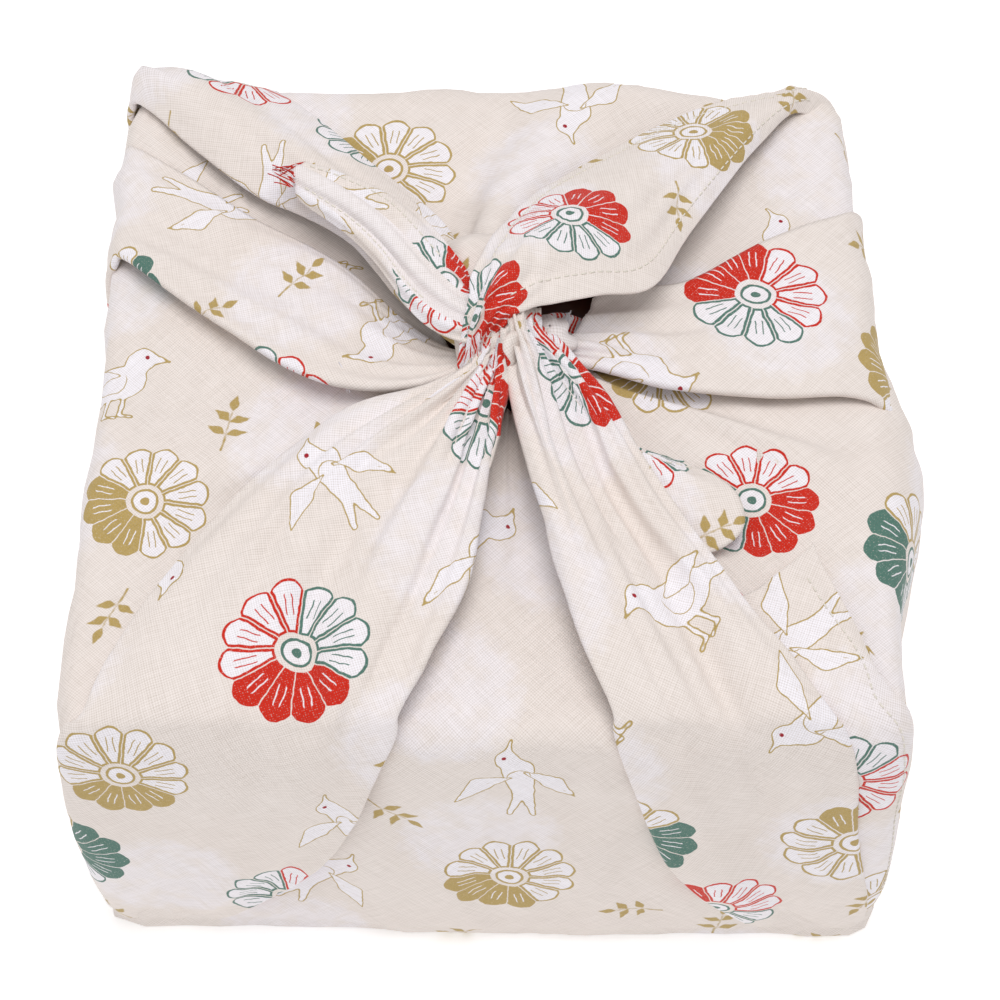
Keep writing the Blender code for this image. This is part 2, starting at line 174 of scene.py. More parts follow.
RIGHT_TAIL = (
    Tail(26, 304, 48, 304, 70, 306, 9, 8, 7),
    Tail(26, 307, 50, 309, 75, 314.5, 12, 11.5, 8.5),
    Tail(27, 311, 49, 314, 74, 321, 13, 13, 9.5),
    Tail(28, 315, 46, 319, 65, 326.5, 13, 12.5, 9.5),
    Tail(30, 318, 41, 322, 51, 327.5, 10.5, 10.5, 8.5),
)

# One cross section of the wing that crosses the knot: its low edge, crown and high edge
Section = namedtuple("Section", "x_low y_low z_low x_crown y_crown z_crown x_high y_high z_high")

BACK_WING = (
    Section(0, -12, 114, -3, -11.5, 117, -6.5, -9.5, 114),
    Section(0.5, -7.5, 124.5, -3, -5.5, 127.5, -6, -3, 123.5),
    Section(5, -4.5, 131, 0.5, -0.5, 134.5, -5, 2, 128.5),
    Section(11.5, -1.5, 133.5, 4.5, 5.5, 138.2, -2.5, 10.5, 131.5),
    Section(19, 2, 132, 11.5, 15.5, 137.5, 2.5, 28, 128),
    Section(29, 7, 128.5, 22, 28, 133, 16, 54, 117.5),
    Section(43.4, 15.5, 122.5, 37, 43, 126, 41, 78, 111),
    Section(56, 43, 115, 55, 63, 118.5, 63, 94, 107.5),
    Section(75, 77, 109, 77, 88, 112, 80, 100, 106.5),
    Section(89, 94, 104.5, 91, 99.5, 107, 87, 103.5, 104.5),
    Section(103, 92, 87, 100.5, 105, 89, 91, 108.5, 87),
    Section(103, 93, 50, 100.5, 104.5, 50, 91, 107.5, 50),
    Section(100, 94, 5, 97.6, 101.6, 5, 90, 104, 5),
)

# Two small parts of the cloth that show in the knot: the strip between the left tail and the
# crossing wing, and the printed scrap in front of the lid
EAR_STRIP = (
    Section(-3.5, -1, 118, -5.5, -2.5, 119, -7, -4, 116),
    Section(-1.5, 9, 122, -5.5, 8, 122, -9, 7, 118),
    Section(1.5, 21, 124, -5.5, 20, 123.5, -10.5, 18, 119),
    Section(6, 31, 122.5, -4, 30, 123, -11, 28, 119),
    Section(9, 38, 116, -3, 38, 116, -11.5, 36, 114),
)

LID_SCRAP = (
    Section(9, 3, 113, 10.5, 6, 118, 12, 9.5, 115),
    Section(16, 3, 111, 17.5, 8.5, 119, 19.5, 12.5, 114),
    Section(23.5, 4, 107, 25, 10, 114.5, 26.5, 14, 110),
    Section(30, 6, 103, 31, 11, 107, 32, 14, 104),
)

# How far a wing's root goes on under the crossing wing, at its first fold line and its last
TUCKS = {
    "front_left": ((5, 6, 6), (1.5, 11, 7)),
    "front_right": ((0.5, 8, 1), (-2, 7, 2)),
    "left_tail": ((6, -10, -1), (5, 1, -1)),
}
TUCK_STEPS = 6

# How finely each sheet is folded: ribs to a fold line, and steps from station to station
SACK_STEPS = (8, 10, 10, 5, 5, 12, 10, 5, 3, 8, 6)
WING_STEPS = (10, 10, 10, 5, 5, 12, 10, 6)
SACK_ACROSS = 6
WING_ACROSS = 8
TAIL_ALONG = (16, 14)

# Corners of the box, by the sack's fold line there: its print is cut apart under the wings
SACK_CORNERS = (4, 9, 14, 20)


def mix(a, b, share):
    return a + (b - a) * share


def smooth(points, steps):
    """A Catmull-Rom curve through tuples; steps is a count for each span, or one for all."""
    last = len(points) - 1
    counts = steps if isinstance(steps, tuple) else (steps,) * last
    curve = []
    for i, count in enumerate(counts):
        corners = [points[min(max(j, 0), last)] for j in (i - 1, i, i + 1, i + 2)]
        for k in range(count):
            t = k / count
            curve.append(tuple(
                0.5 * (2 * b + (c - a) * t + (2 * a - 5 * b + 4 * c - d) * t**2
                       + (3 * b - a - 3 * c + d) * t**3)
                for a, b, c, d in zip(*corners)
            ))
    return curve + [tuple(points[-1])]


def marks(spans, steps):
    """Where each point of a smooth curve lies, counted in the points that it runs through."""
    counts = steps if isinstance(steps, tuple) else (steps,) * spans
    return [i + k / count for i, count in enumerate(counts) for k in range(count)] + [float(spans)]


def wall_reach(turn):
    """How far the sack's outline is from the knot's middle at this turn, found by halving."""
    step = (math.cos(math.radians(turn)), math.sin(math.radians(turn)))
    inside, outside = 60.0, 170.0
    for _ in range(24):
        middle = (inside + outside) / 2
        dx = abs(KNOT[0] + middle * step[0]) - (HALF_X - WALL_ROUND)
        dy = abs(KNOT[1] + middle * step[1]) - (HALF_Y - WALL_ROUND)
        past = math.hypot(max(dx, 0), max(dy, 0)) + min(max(dx, dy), 0) - WALL_ROUND
        if past > 0:
            outside = middle
        else:
            inside = middle
    return inside


def at(turn, reach, height):
    angle = math.radians(turn)
    return (KNOT[0] + reach * math.cos(angle), KNOT[1] + reach * math.sin(angle), max(height, 0.0))


def swell(turn, height):
    """How much further out the cloth stands at this turn, at the foot and at the rim."""
    low = max(0.0, 1 - height / (0.6 * DECK)) ** 0.7
    high = min(max((height - 0.7 * DECK) / (0.25 * DECK), 0.0), 1.0)
    extra = 0.0
    for middle, spread, foot, rim in SWELLS:
        away = ((turn - middle + 180) % 360 - 180) / spread
        extra += (foot * low + rim * high) * math.exp(-away * away)
    return extra


def place(station):
    """The point of one station: its turn, root reach, share of the way to the wall, extra, height."""
    turn, reach, share, extra, height = station
    extra += swell(turn, height) * share
    return at(turn, mix(reach, wall_reach(turn), share) + extra, height)


def top_route(fold):
    """A fold line's stations from its root over the deck to the middle of the wall."""
    slide = fold.foot - fold.edge
    return [
        (fold.root, fold.reach, 0.0, 0.0, DECK + fold.root_up),
        (fold.near, fold.reach, NEAR_SHARE, 0.0, DECK + fold.near_up),
        (fold.far, fold.reach, FAR_SHARE, 0.0, DECK + fold.far_up),
        (fold.edge, fold.reach, 1.0, 0.8 * fold.edge_up - SHOULDER_IN, DECK + fold.edge_up),
        (fold.edge, fold.reach, 1.0, 0.5 * fold.off - RIM_IN, DECK + 0.45 * fold.edge_up - RIM_DROP),
        (fold.edge + 0.1 * slide, fold.reach, 1.0, 0.9 * fold.off, DECK - BROW_DROP),
        (fold.edge + 0.35 * slide, fold.reach, 1.0, fold.off, DECK / 2),
    ]


def wing_route(fold):
    """A wing's fold line, down to where it goes into the wall at the foot."""
    slide = fold.foot - fold.edge
    return top_route(fold) + [
        (fold.edge + 0.75 * slide, fold.reach, 1.0, 0.6 * fold.off, 0.2 * DECK),
        (fold.foot, fold.reach, 1.0, FOOT_SHARE * fold.off - FOOT_IN, TOE_IN),
    ]


def sack_route(fold):
    """The sack's fold line, down the wall and under the box."""
    return top_route(fold) + [
        (fold.foot, fold.reach, 1.0, 0.8 * fold.off, 0.2 * DECK),
        (fold.foot, fold.reach, 1.0, TOE_SHARE * fold.off, TOE_IN),
        (fold.foot, fold.reach, 1.0, -TOE_IN, 0.0),
        (fold.foot, fold.reach, 0.5, 0.0, 0.0),
        (fold.foot, fold.reach, 0.0, -fold.reach, 0.0),
    ]


def wing_ribs(folds):
    return [
        [place(station) for station in smooth(wing_route(Fold(*row)), WING_STEPS)]
        for row in smooth(folds, WING_ACROSS)
    ]


def tucked(name, ribs):
    """The wing's ribs with their tucked starts, and the stations of those."""
    first, last = TUCKS[name]
    longer = []
    for i, rib in enumerate(ribs):
        share = i / (len(ribs) - 1)
        start = tuple(c + mix(a, b, share) for c, a, b in zip(rib[0], first, last))
        lead = smooth((start, rib[0], rib[6]), (TUCK_STEPS, 1))[:TUCK_STEPS]
        longer.append(lead + rib)
    return longer, [k / TUCK_STEPS - 1 for k in range(TUCK_STEPS)]


def turned(fold, whole):
    """The same fold line with all its turns a whole turn further."""
    turns = ("root", "near", "far", "edge", "foot")
    return fold._replace(**{name: getattr(fold, name) + whole for name in turns})


def sack_ribs(folds):
    """The sack's ribs all the way round, the first one again at the end."""
    ring = (turned(folds[-1], -360),) + folds + (turned(folds[0], 360), turned(folds[1], 360))
    rows = smooth(ring, SACK_ACROSS)[SACK_ACROSS:SACK_ACROSS * (len(folds) + 1) + 1]
    return [[place(station) for station in smooth(sack_route(Fold(*row)), SACK_STEPS)] for row in rows]


def tail_ribs(tails):
    ribs = []
    for row in smooth(tails, WING_ACROSS):
        tail = Tail(*row)
        route = [
            (tail.root, tail.root_reach, DECK + tail.root_up),
            (tail.mid, tail.mid_reach, DECK + tail.mid_up),
            (tail.tip, tail.tip_reach, DECK + tail.tip_up),
        ]
        ribs.append([at(*station) for station in smooth(route, TAIL_ALONG)])
    return ribs


def section_ribs(sections, across, along):
    """Ribs along the sections, side by side from their low edge to their high edge."""
    cuts = []
    for row in smooth(sections, along):
        cut = Section(*row)
        cuts.append(smooth([
            (cut.x_low, cut.y_low, cut.z_low),
            (cut.x_crown, cut.y_crown, cut.z_crown),
            (cut.x_high, cut.y_high, cut.z_high),
        ], across))
    return [list(rib) for rib in zip(*cuts)]


def units(vectors):
    lengths = np.linalg.norm(vectors, axis=-1, keepdims=True)
    return vectors / np.maximum(lengths, 1e-9)


def slopes(grid):
    """Unit directions along the ribs and across them, and out of the sheet, at each point."""
    along = units(np.gradient(grid, axis=1))
    across = units(np.gradient(grid, axis=0))
    return along, across, units(np.cross(along, across))


def turned_under(grid, side, roll, strip):
    """Ribs that carry a sheet's side edge round a soft roll and back under it, strip ribs wide."""
    rows = grid if side > 0 else grid[::-1]
    _, _, up = slopes(grid)
    up = up if side > 0 else up[::-1]
    edge, inner = rows[-1], rows[-2]
    out = units(edge - inner)
    low = np.clip(edge[:, 2:] / (0.25 * DECK), 0, 1)
    radius = roll * (0.25 + 0.75 * low) * np.linspace(1, 0.8, len(edge))[:, None]
    middle = edge - up[-1] * radius
    ribs = []
    for angle in (30, 60, 90, 120, 150):
        swing = math.radians(angle)
        ribs.append(middle + up[-1] * radius * math.cos(swing) + out * radius * math.sin(swing))
    ribs += [rows[-1 - k] - 2 * radius * up[-1 - k] for k in range(strip)]
    return np.array(ribs if side > 0 else ribs[::-1])


# A sheet as ribs of points, with the fold lines and stations that they are counted in
Sheet = namedtuple("Sheet", "name grid across along")

# How a wing's edge is finished: its roll's radius, and how many ribs wide it goes back under
Edge = namedtuple("Edge", "roll strip")
SOFT = Edge(1.3, 12)
HEM = Edge(0.6, 5)

# Gathers in a wing by the knot: how many, how deep, and how far out along the stations
Gather = namedtuple("Gather", "count depth reach phase")
GATHERS = {
    "left_band": Gather(4.5, 0.9, 2.2, 0.3),
    "corner_roll": Gather(4.0, 0.8, 2.4, 1.1),
    "right_band": Gather(4.5, 1.0, 2.3, 0.0),
    "front_left": Gather(7.5, 1.5, 3.4, 0.6),
    "front_right": Gather(7.0, 1.3, 3.2, 2.0),
    "left_tail": Gather(4.0, 0.9, 1.5, 0.2),
    "right_tail": Gather(3.5, 0.6, 1.6, 0.0),
    "back_wing": Gather(4.5, 1.0, 7.0, 0.4),
    "right_flap": Gather(2.0, 0.4, 2.0, 0.0),
    "sack": Gather(31.0, 0.8, 2.2, 0.0),
}

# A listed crease: its sheet, where it starts and ends in fold lines and stations, its
# half width and its depth, below nothing for a ridge
Crease = namedtuple("Crease", "sheet across along to_across to_along width depth")
CREASES = (
    Crease("front_left", 1.2, 0.9, 1.9, 4.6, 4.5, 1.1),
    Crease("front_left", 2.6, 0.7, 2.9, 3.6, 4.0, 1.2),
    Crease("front_left", 3.4, 0.8, 3.6, 4.2, 3.5, 1.0),
    Crease("front_left", 4.3, 0.6, 4.4, 5.5, 4.0, 1.1),
    Crease("front_left", 2.2, 4.0, 3.8, 6.2, 6.0, 0.9),
    Crease("front_left", 1.0, 5.2, 2.4, 6.8, 6.0, 0.8),
    Crease("front_right", 0.8, 0.8, 0.9, 4.4, 3.5, 1.0),
    Crease("front_right", 1.6, 0.9, 1.7, 5.5, 4.0, 1.2),
    Crease("front_right", 2.5, 0.6, 2.4, 4.8, 4.0, 1.2),
    Crease("front_right", 3.5, 1.2, 3.4, 6.0, 4.5, 1.3),
    Crease("front_right", 4.4, 1.4, 4.5, 5.2, 3.5, 0.9),
    Crease("left_band", 0.9, 0.8, 1.3, 3.4, 3.0, 0.7),
    Crease("left_band", 1.9, 0.7, 2.2, 3.0, 3.5, 0.8),
    Crease("right_band", 0.8, 0.6, 0.9, 3.6, 3.5, 0.9),
    Crease("right_band", 1.7, 0.6, 1.6, 3.2, 3.5, 0.9),
    Crease("sack", 11.6, 3.2, 12.6, 6.8, 7.0, 1.0),
    Crease("sack", 12.8, 2.6, 13.4, 6.2, 6.0, 0.9),
    Crease("sack", 15.2, 3.4, 16.6, 6.4, 8.0, 1.1),
    Crease("sack", 17.2, 2.6, 17.8, 5.4, 6.0, 0.8),
    Crease("sack", 18.4, 3.8, 17.4, 7.2, 7.0, 0.9),
    Crease("sack", 20.8, 2.4, 21.2, 6.0, 6.0, 1.0),
    Crease("sack", 0.6, 2.2, 1.2, 5.6, 6.0, 1.0),
    Crease("sack", 5.4, 2.4, 5.6, 6.0, 5.0, 0.8),
    Crease("sack", 6.6, 2.0, 7.0, 4.0, 4.0, 1.0),
    Crease("sack", 7.6, 3.0, 8.4, 6.4, 6.0, 0.9),
    Crease("sack", 10.2, 3.0, 10.8, 6.6, 6.0, 0.8),
    Crease("back_wing", 0.6, 3.6, 0.8, 7.6, 3.5, 1.0),
    Crease("back_wing", 1.4, 4.0, 1.3, 8.4, 4.0, 1.0),
    Crease("back_wing", 0.5, 0.6, 0.55, 4.5, 2.0, 0.8),
    Crease("back_wing", 1.1, 0.4, 1.2, 4.2, 2.4, 1.0),
    Crease("back_wing", 1.6, 1.0, 1.5, 3.6, 2.0, 0.7),
    Crease("left_tail", 1.1, 0.1, 1.15, 2.0, 1.5, 1.5),
    Crease("left_tail", 2.3, 0.0, 2.35, 1.95, 1.5, 1.7),
    Crease("left_tail", 2.7, 0.1, 2.7, 2.0, 2.0, -1.2),
    Crease("left_tail", 0.5, 0.1, 0.6, 1.8, 2.2, -0.9),
    Crease("left_band", 0.5, 1.2, 0.9, 5.6, 6.0, -1.3),
    Crease("left_band", 1.5, 1.6, 1.4, 5.2, 5.0, 1.2),
    Crease("left_band", 2.4, 1.0, 2.4, 4.4, 4.0, -1.0),
    Crease("corner_roll", 1.2, 0.8, 1.3, 3.6, 4.0, 1.0),
    Crease("corner_roll", 2.9, 0.9, 2.7, 4.0, 4.0, 0.9),
    Crease("right_band", 0.4, 0.6, 0.5, 3.0, 3.0, 0.8),
    Crease("right_band", 2.4, 0.8, 2.3, 4.4, 4.0, 1.0),
    Crease("sack", 21.5, 0.8, 21.8, 3.4, 4.5, 2.2),
    Crease("sack", 0.2, 0.7, 0.5, 3.2, 4.0, 2.2),
    Crease("sack", 17.0, 0.6, 17.0, 3.4, 4.0, 1.8),
    Crease("sack", 16.4, 1.6, 15.6, 4.6, 6.0, 1.0),
    Crease("sack", 10.7, 1.0, 11.0, 3.6, 6.0, 1.6),
    Crease("sack", 11.8, 1.0, 11.7, 4.4, 5.0, 1.6),
    Crease("sack", 8.4, 1.4, 8.6, 3.6, 5.0, 1.1),
    Crease("sack", 5.0, 1.4, 4.9, 3.8, 6.0, 1.0),
    Crease("sack", 3.4, 1.0, 3.3, 3.6, 5.0, 0.9),
    Crease("front_left", 0.5, 1.4, 0.7, 4.0, 5.0, -1.2),
    Crease("front_left", 2.0, 1.0, 2.6, 4.8, 5.0, -1.2),
    Crease("front_left", 3.9, 1.2, 3.9, 5.4, 4.0, -1.0),
    Crease("front_right", 2.0, 0.8, 2.0, 4.6, 4.0, -1.1),
    Crease("front_right", 3.0, 1.0, 2.9, 5.4, 4.5, -1.1),
    Crease("sack", 9.6, 4.4, 9.9, 8.4, 5.0, 1.2),
    Crease("sack", 10.8, 4.0, 10.5, 8.0, 6.0, -1.1),
    Crease("sack", 11.9, 4.8, 12.3, 8.6, 5.0, 1.2),
    Crease("sack", 13.2, 4.2, 13.0, 8.2, 6.0, 1.1),
    Crease("sack", 14.7, 5.0, 15.1, 8.6, 5.0, 1.2),
    Crease("sack", 15.8, 4.4, 15.6, 7.8, 5.0, -1.1),
    Crease("sack", 16.6, 4.8, 16.9, 8.4, 6.0, 1.1),
    Crease("sack", 18.2, 4.6, 18.4, 8.4, 5.0, 1.2),
    Crease("sack", 19.2, 4.4, 18.9, 8.2, 5.0, -1.0),
    Crease("sack", 1.4, 4.6, 1.1, 8.4, 6.0, 1.1),
    Crease("sack", 2.5, 4.2, 2.8, 8.0, 5.0, -1.0),
    Crease("sack", 3.4, 4.8, 3.2, 8.6, 5.0, 1.1),
    Crease("sack", 6.0, 4.6, 5.7, 8.4, 6.0, 1.2),
    Crease("sack", 7.3, 4.4, 7.6, 8.2, 5.0, -1.1),
    Crease("sack", 8.3, 4.6, 8.1, 8.6, 5.0, 1.1),
    Crease("right_flap", 1.5, 0.8, 1.6, 4.6, 4.0, 1.0),
    Crease("right_tail", 1.6, 0.1, 1.8, 1.8, 3.0, 1.2),
    Crease("right_tail", 2.8, 0.1, 2.7, 1.7, 3.0, -1.0),
)


def paths_of(grid):
    """How far each point lies along its rib and across the ribs, in millimetres of cloth."""
    along = np.zeros(grid.shape[:2])
    across = np.zeros(grid.shape[:2])
    along[:, 1:] = np.cumsum(np.linalg.norm(np.diff(grid, axis=1), axis=2), axis=1)
    across[1:] = np.cumsum(np.linalg.norm(np.diff(grid, axis=0), axis=2), axis=0)
    return along, across


def value_at(table, rows, columns, row, column):
    """A grid's value at a fold line and station that may lie between two."""
    i = int(np.clip(np.searchsorted(rows, row), 1, len(rows) - 1))
    j = int(np.clip(np.searchsorted(columns, column), 1, len(columns) - 1))
    s = np.clip((row - rows[i - 1]) / (rows[i] - rows[i - 1]), 0, 1)
    t = np.clip((column - columns[j - 1]) / (columns[j] - columns[j - 1]), 0, 1)
    return mix(mix(table[i - 1, j - 1], table[i - 1, j], t), mix(table[i, j - 1], table[i, j], t), s)


def creased(name, grid, across, along, depth):
    """The sheet with its gathers, listed creases and small unevenness."""
    _, _, out = slopes(grid)
    run, width = paths_of(grid)
    lift = np.zeros(grid.shape[:2])
    rows, columns = np.array(across), np.array(along)
    gather = GATHERS.get(name)
    if gather:
        share = (rows - rows[0]) / (rows[-1] - rows[0])
        fade = np.clip(1 - columns / gather.reach, 0, 1) ** 1.3
        wander = np.array([[0.9 * noise.noise((5 * s, 0.8 * c, 7.1)) for c in columns] for s in share])
        wave = np.sin(2 * math.pi * (gather.count * share[:, None] + wander) + gather.phase)
        lift += gather.depth * fade[None, :] * (np.sign(wave) * np.abs(wave) ** 0.7)
    for crease in CREASES:
        if crease.sheet != name:
            continue
        ends = [
            [value_at(field, rows, columns, row, column) for field in (run, width)]
            for row, column in ((crease.across, crease.along), (crease.to_across, crease.to_along))
        ]
        start, way = np.array(ends[0]), np.array(ends[1]) - np.array(ends[0])
        here = np.stack([run, width], axis=-1) - start
        share = np.clip((here @ way) / (way @ way), 0, 1)
        off = np.linalg.norm(here - share[..., None] * way, axis=-1)
        taper = np.sin(math.pi * np.clip(0.12 + 0.76 * share, 0, 1))
        lift -= crease.depth * taper * np.exp(-(off / crease.width * 1.5) ** 2)
    seed = len(name)
    uneven = np.array([
        [noise.noise((r / 34, w / 15, seed)) + 0.5 * noise.noise((r / 15, w / 8, 3 + seed))
         + 0.45 * noise.noise((r / 46, w / 5, 7 + seed))
         for r, w in zip(rank, row)]
        for rank, row in zip(run, width)
    ])
    lift += 0.75 * uneven
    return grid + out * (depth * lift)[..., None]


def inner_layer(sack):
    """The corners that lie folded between the sack and the box, from the lid down to the foot."""
    _, _, out = slopes(sack.grid)
    first, last = sack.along.index(2.0), sack.along.index(8.0)
    inside = sack.grid - INNER_GAP * out
    rows, columns = slice(None, None, 3), slice(first, last + 1, 2)
    return Sheet("inner_layer", inside[rows, columns], sack.across[rows], sack.along[columns])


@lru_cache(maxsize=4)
def folded_sheets(depth):
    """All the sheets that the tied cloth is seen as, in millimetres."""
    sheets = []

    def keep(name, ribs, along, first=None, last=None, folds=None, steps=WING_ACROSS):
        grid = np.array(ribs, float)
        across = marks(folds, steps)
        grid = creased(name, grid, across, along, depth)
        before = turned_under(grid, -1, *first) if first else np.zeros((0,) + grid.shape[1:])
        after = turned_under(grid, 1, *last) if last else np.zeros((0,) + grid.shape[1:])
        spread = (
            [-0.02 * (len(before) - k) for k in range(len(before))] + across
            + [folds + 0.02 * (k + 1) for k in range(len(after))]
        )
        sheets.append(Sheet(name, np.concatenate([before, grid, after]), spread, list(along)))

    keep("sack", sack_ribs(SACK), marks(11, SACK_STEPS), folds=len(SACK), steps=SACK_ACROSS)
    sheets.append(inner_layer(sheets[0]))
    wing = marks(8, WING_STEPS)
    keep("left_band", wing_ribs(LEFT_BAND), wing, last=SOFT, folds=3)
    keep("corner_roll", wing_ribs(CORNER_ROLL[::-1]), wing, SOFT, SOFT, folds=4)
    keep("right_band", wing_ribs(RIGHT_BAND), wing, SOFT, folds=3)
    ribs, start = tucked("front_left", wing_ribs(FRONT_LEFT))
    keep("front_left", ribs, start + wing, SOFT, SOFT, folds=5)
    keep("right_flap", wing_ribs(RIGHT_FLAP), wing, last=HEM, folds=3)
    ribs, start = tucked("front_right", wing_ribs(FRONT_RIGHT))
    keep("front_right", ribs, start + wing, SOFT, SOFT, folds=5)
    tail = marks(2, TAIL_ALONG)
    ribs, start = tucked("left_tail", tail_ribs(LEFT_TAIL[::-1]))
    keep("left_tail", ribs, start + tail, HEM, HEM, folds=3)
    keep("right_tail", tail_ribs(RIGHT_TAIL), tail, HEM, HEM, folds=4)
    keep("back_wing", section_ribs(BACK_WING, 14, 7), marks(12, 7), HEM, HEM, folds=2, steps=14)
    keep("ear_strip", section_ribs(EAR_STRIP, 6, 8), marks(4, 8), folds=2, steps=6)
    keep("lid_scrap", section_ribs(LID_SCRAP, 6, 6), marks(3, 6), HEM, HEM, folds=2, steps=6)
    return sheets


# A lump of gathered cloth in the knot: its middle, half sizes, gathers, and their depth
Lump = namedtuple("Lump", "name x y z wide deep high gathers depth twist")
LUMPS = (
    Lump("core", 6.5, -1.0, 111.0, 8.5, 8.0, 12.0, 9, 0.07, 0.8),
    Lump("bump", 16.5, 0.5, 115.0, 6.5, 7.5, 9.0, 5, 0.16, 1.4),
)


def lump_grid(lump, around=72, up=30):
    """A gathered lump as ribs round its upright axis, from underneath to the top."""
    grid = np.zeros((around + 1, up + 1, 3))
    for i in range(around + 1):
        turn = 2 * math.pi * i / around
        for j in range(up + 1):
            rise = math.pi * (0.015 + 0.97 * j / up) - math.pi / 2
            gather = math.sin(lump.gathers * (turn + lump.twist * rise))
            swell = 1 + lump.depth * gather * math.cos(rise)
            grid[i, j] = (
                lump.x + lump.wide * swell * math.cos(rise) * math.cos(turn),
                lump.y + lump.deep * swell * math.cos(rise) * math.sin(turn),
                lump.z + lump.high * math.sin(rise),
            )
    return grid[:, ::-1]


# A hem whose stitches show: its sheet, 1 for the last fold line's side or -1 for the first one's,
# and the stations that it runs between
Hem = namedtuple("Hem", "sheet side start end")
HEMS = (
    Hem("back_wing", -1, 2.6, 9.2),
    Hem("back_wing", 1, 3.4, 9.2),
    Hem("left_tail", 1, 0.5, 1.95),
    Hem("left_tail", -1, 0.5, 1.95),
    Hem("right_tail", -1, 0.3, 1.9),
    Hem("right_tail", 1, 0.3, 1.9),
    Hem("right_flap", 1, 0.6, 7.0),
)
HEM_WIDTH = 6.0

# A tuft of frayed threads: its middle, the way and height that they go, how many and how long
Tuft = namedtuple("Tuft", "x y z turn rise spread count length wide red")
TUFTS = (
    Tuft(-50.8, 55.0, 120.9, 158, 6, 84, 22, 6.5, 9.0, 0.6),
    Tuft(-34.5, -8.0, 110.5, 112, 20, 24, 3, 10.0, 2.0, 0.0),
    Tuft(20.5, 7.5, 117.0, 60, 24, 60, 6, 4.0, 3.0, 0.0),
)


def tube(path, radius, sides=5):
    """Points and faces of a thread along a path, with closed ends."""
    path = np.array(path, float)
    along = units(np.gradient(path, axis=0))
    side = units(np.cross(along, (0.31, 0.17, 0.94)))
    over = np.cross(side, along)
    turns = [2 * math.pi * k / sides for k in range(sides)]
    points = [
        p + radius * (math.cos(t) * a + math.sin(t) * b)
        for p, a, b in zip(path, side, over) for t in turns
    ]
    faces = [
        (i * sides + k, i * sides + (k + 1) % sides, (i + 1) * sides + (k + 1) % sides,
         (i + 1) * sides + k)
        for i in range(len(path) - 1) for k in range(sides)
    ]
    last = (len(path) - 1) * sides
    return points, faces + [tuple(range(sides))[::-1], tuple(range(last, last + sides))]


def joined_tubes(tubes):
    points, faces = [], []
    for some, theirs in tubes:
        faces += [tuple(len(points) + c for c in face) for face in theirs]
        points += some
    return points, faces


def hem_line(sheet, hem):
    """Points along a hem, a hem's width in from the edge and just on top of the cloth."""
    own = [i for i, row in enumerate(sheet.across) if 0 <= row <= round(sheet.across[-1])]
    grid = sheet.grid[own]
    _, _, out = slopes(grid)
    rows = slice(None) if hem.side < 0 else slice(None, None, -1)
    line = []
    for j, station in enumerate(sheet.along):
        if not hem.start <= station <= hem.end:
            continue
        rank, lift = grid[rows, j], out[rows, j]
        far = np.concatenate([[0.0], np.cumsum(np.linalg.norm(np.diff(rank, axis=0), axis=1))])
        width = min(HEM_WIDTH, 0.3 * far[-1])
        at_width = [np.interp(width, far, (rank + 0.10 * lift)[:, axis]) for axis in range(3)]
        line.append(at_width)
    return np.array(line)


def stitches(sheets, pitch):
    """Short threads along the hems."""
    made = []
    for hem in HEMS:
        sheet = next(sheet for sheet in sheets if sheet.name == hem.sheet)
        line = hem_line(sheet, hem)
        far = np.concatenate([[0.0], np.cumsum(np.linalg.norm(np.diff(line, axis=0), axis=1))])
        for k in range(int(far[-1] / pitch)):
            span = [np.array([np.interp(pitch * (k + t), far, line[:, axis]) for axis in range(3)])
                    for t in (0.12, 0.28, 0.52, 0.68)]
            made.append(tube(span, 0.22, 5))
    return joined_tubes(made)


def frayed(red):
    """The tufts' threads that are red, or those that are not."""
    made = []
    for number, tuft in enumerate(TUFTS):
        for k in range(tuft.count):
            share = (k + 0.5) / tuft.count - 0.5
            if (k % 5 < 5 * tuft.red) != red:
                continue
            wander = [noise.noise((1.7 * k + 0.3, 5.1 * number, 0.9 * n)) for n in range(6)]
            turn = math.radians(tuft.turn + tuft.spread * (share + 0.5 * wander[0]))
            rise = math.radians(tuft.rise + 40 * wander[1])
            length = tuft.length * (0.8 + 0.8 * wander[2])
            cross = math.radians(tuft.turn - 90)
            start = np.array([
                tuft.x + tuft.wide * share * math.cos(cross),
                tuft.y + tuft.wide * share * math.sin(cross), tuft.z,
            ])
            step = np.array([
                math.cos(turn) * math.cos(rise), math.sin(turn) * math.cos(rise), math.sin(rise)
            ])
            bow = np.array([-math.sin(turn), math.cos(turn), 0.4])
            path = [
                start + step * length * t + bow * 2.2 * wander[3] * math.sin(2.4 * t)
                - np.array([0, 0, 1.6 * t * t])
                for t in (-0.25, 0.0, 0.25, 0.5, 0.75, 1.0)
            ]
            made.append(tube(smooth([tuple(p) for p in path], 2), 0.16, 5))
    return joined_tubes(made)


def centred(points):
    """Points of the tables in metres, from the middle of the whole wrap."""
    points = np.array(points, float)
    return (points - (WRAP_CENTRE[0], WRAP_CENTRE[1], 0.0)) * MM


def new_object(name, points, faces):
    mesh = bpy.data.meshes.new(name)
    mesh.from_pydata([tuple(p) for p in centred(points)], [], faces)
    obj = bpy.data.objects.new(name, mesh)
    bpy.context.scene.collection.objects.link(obj)
    return obj


def select_only(obj):
    bpy.ops.object.select_all(action="DESELECT")
    obj.select_set(True)
    bpy.context.view_layer.objects.active = obj


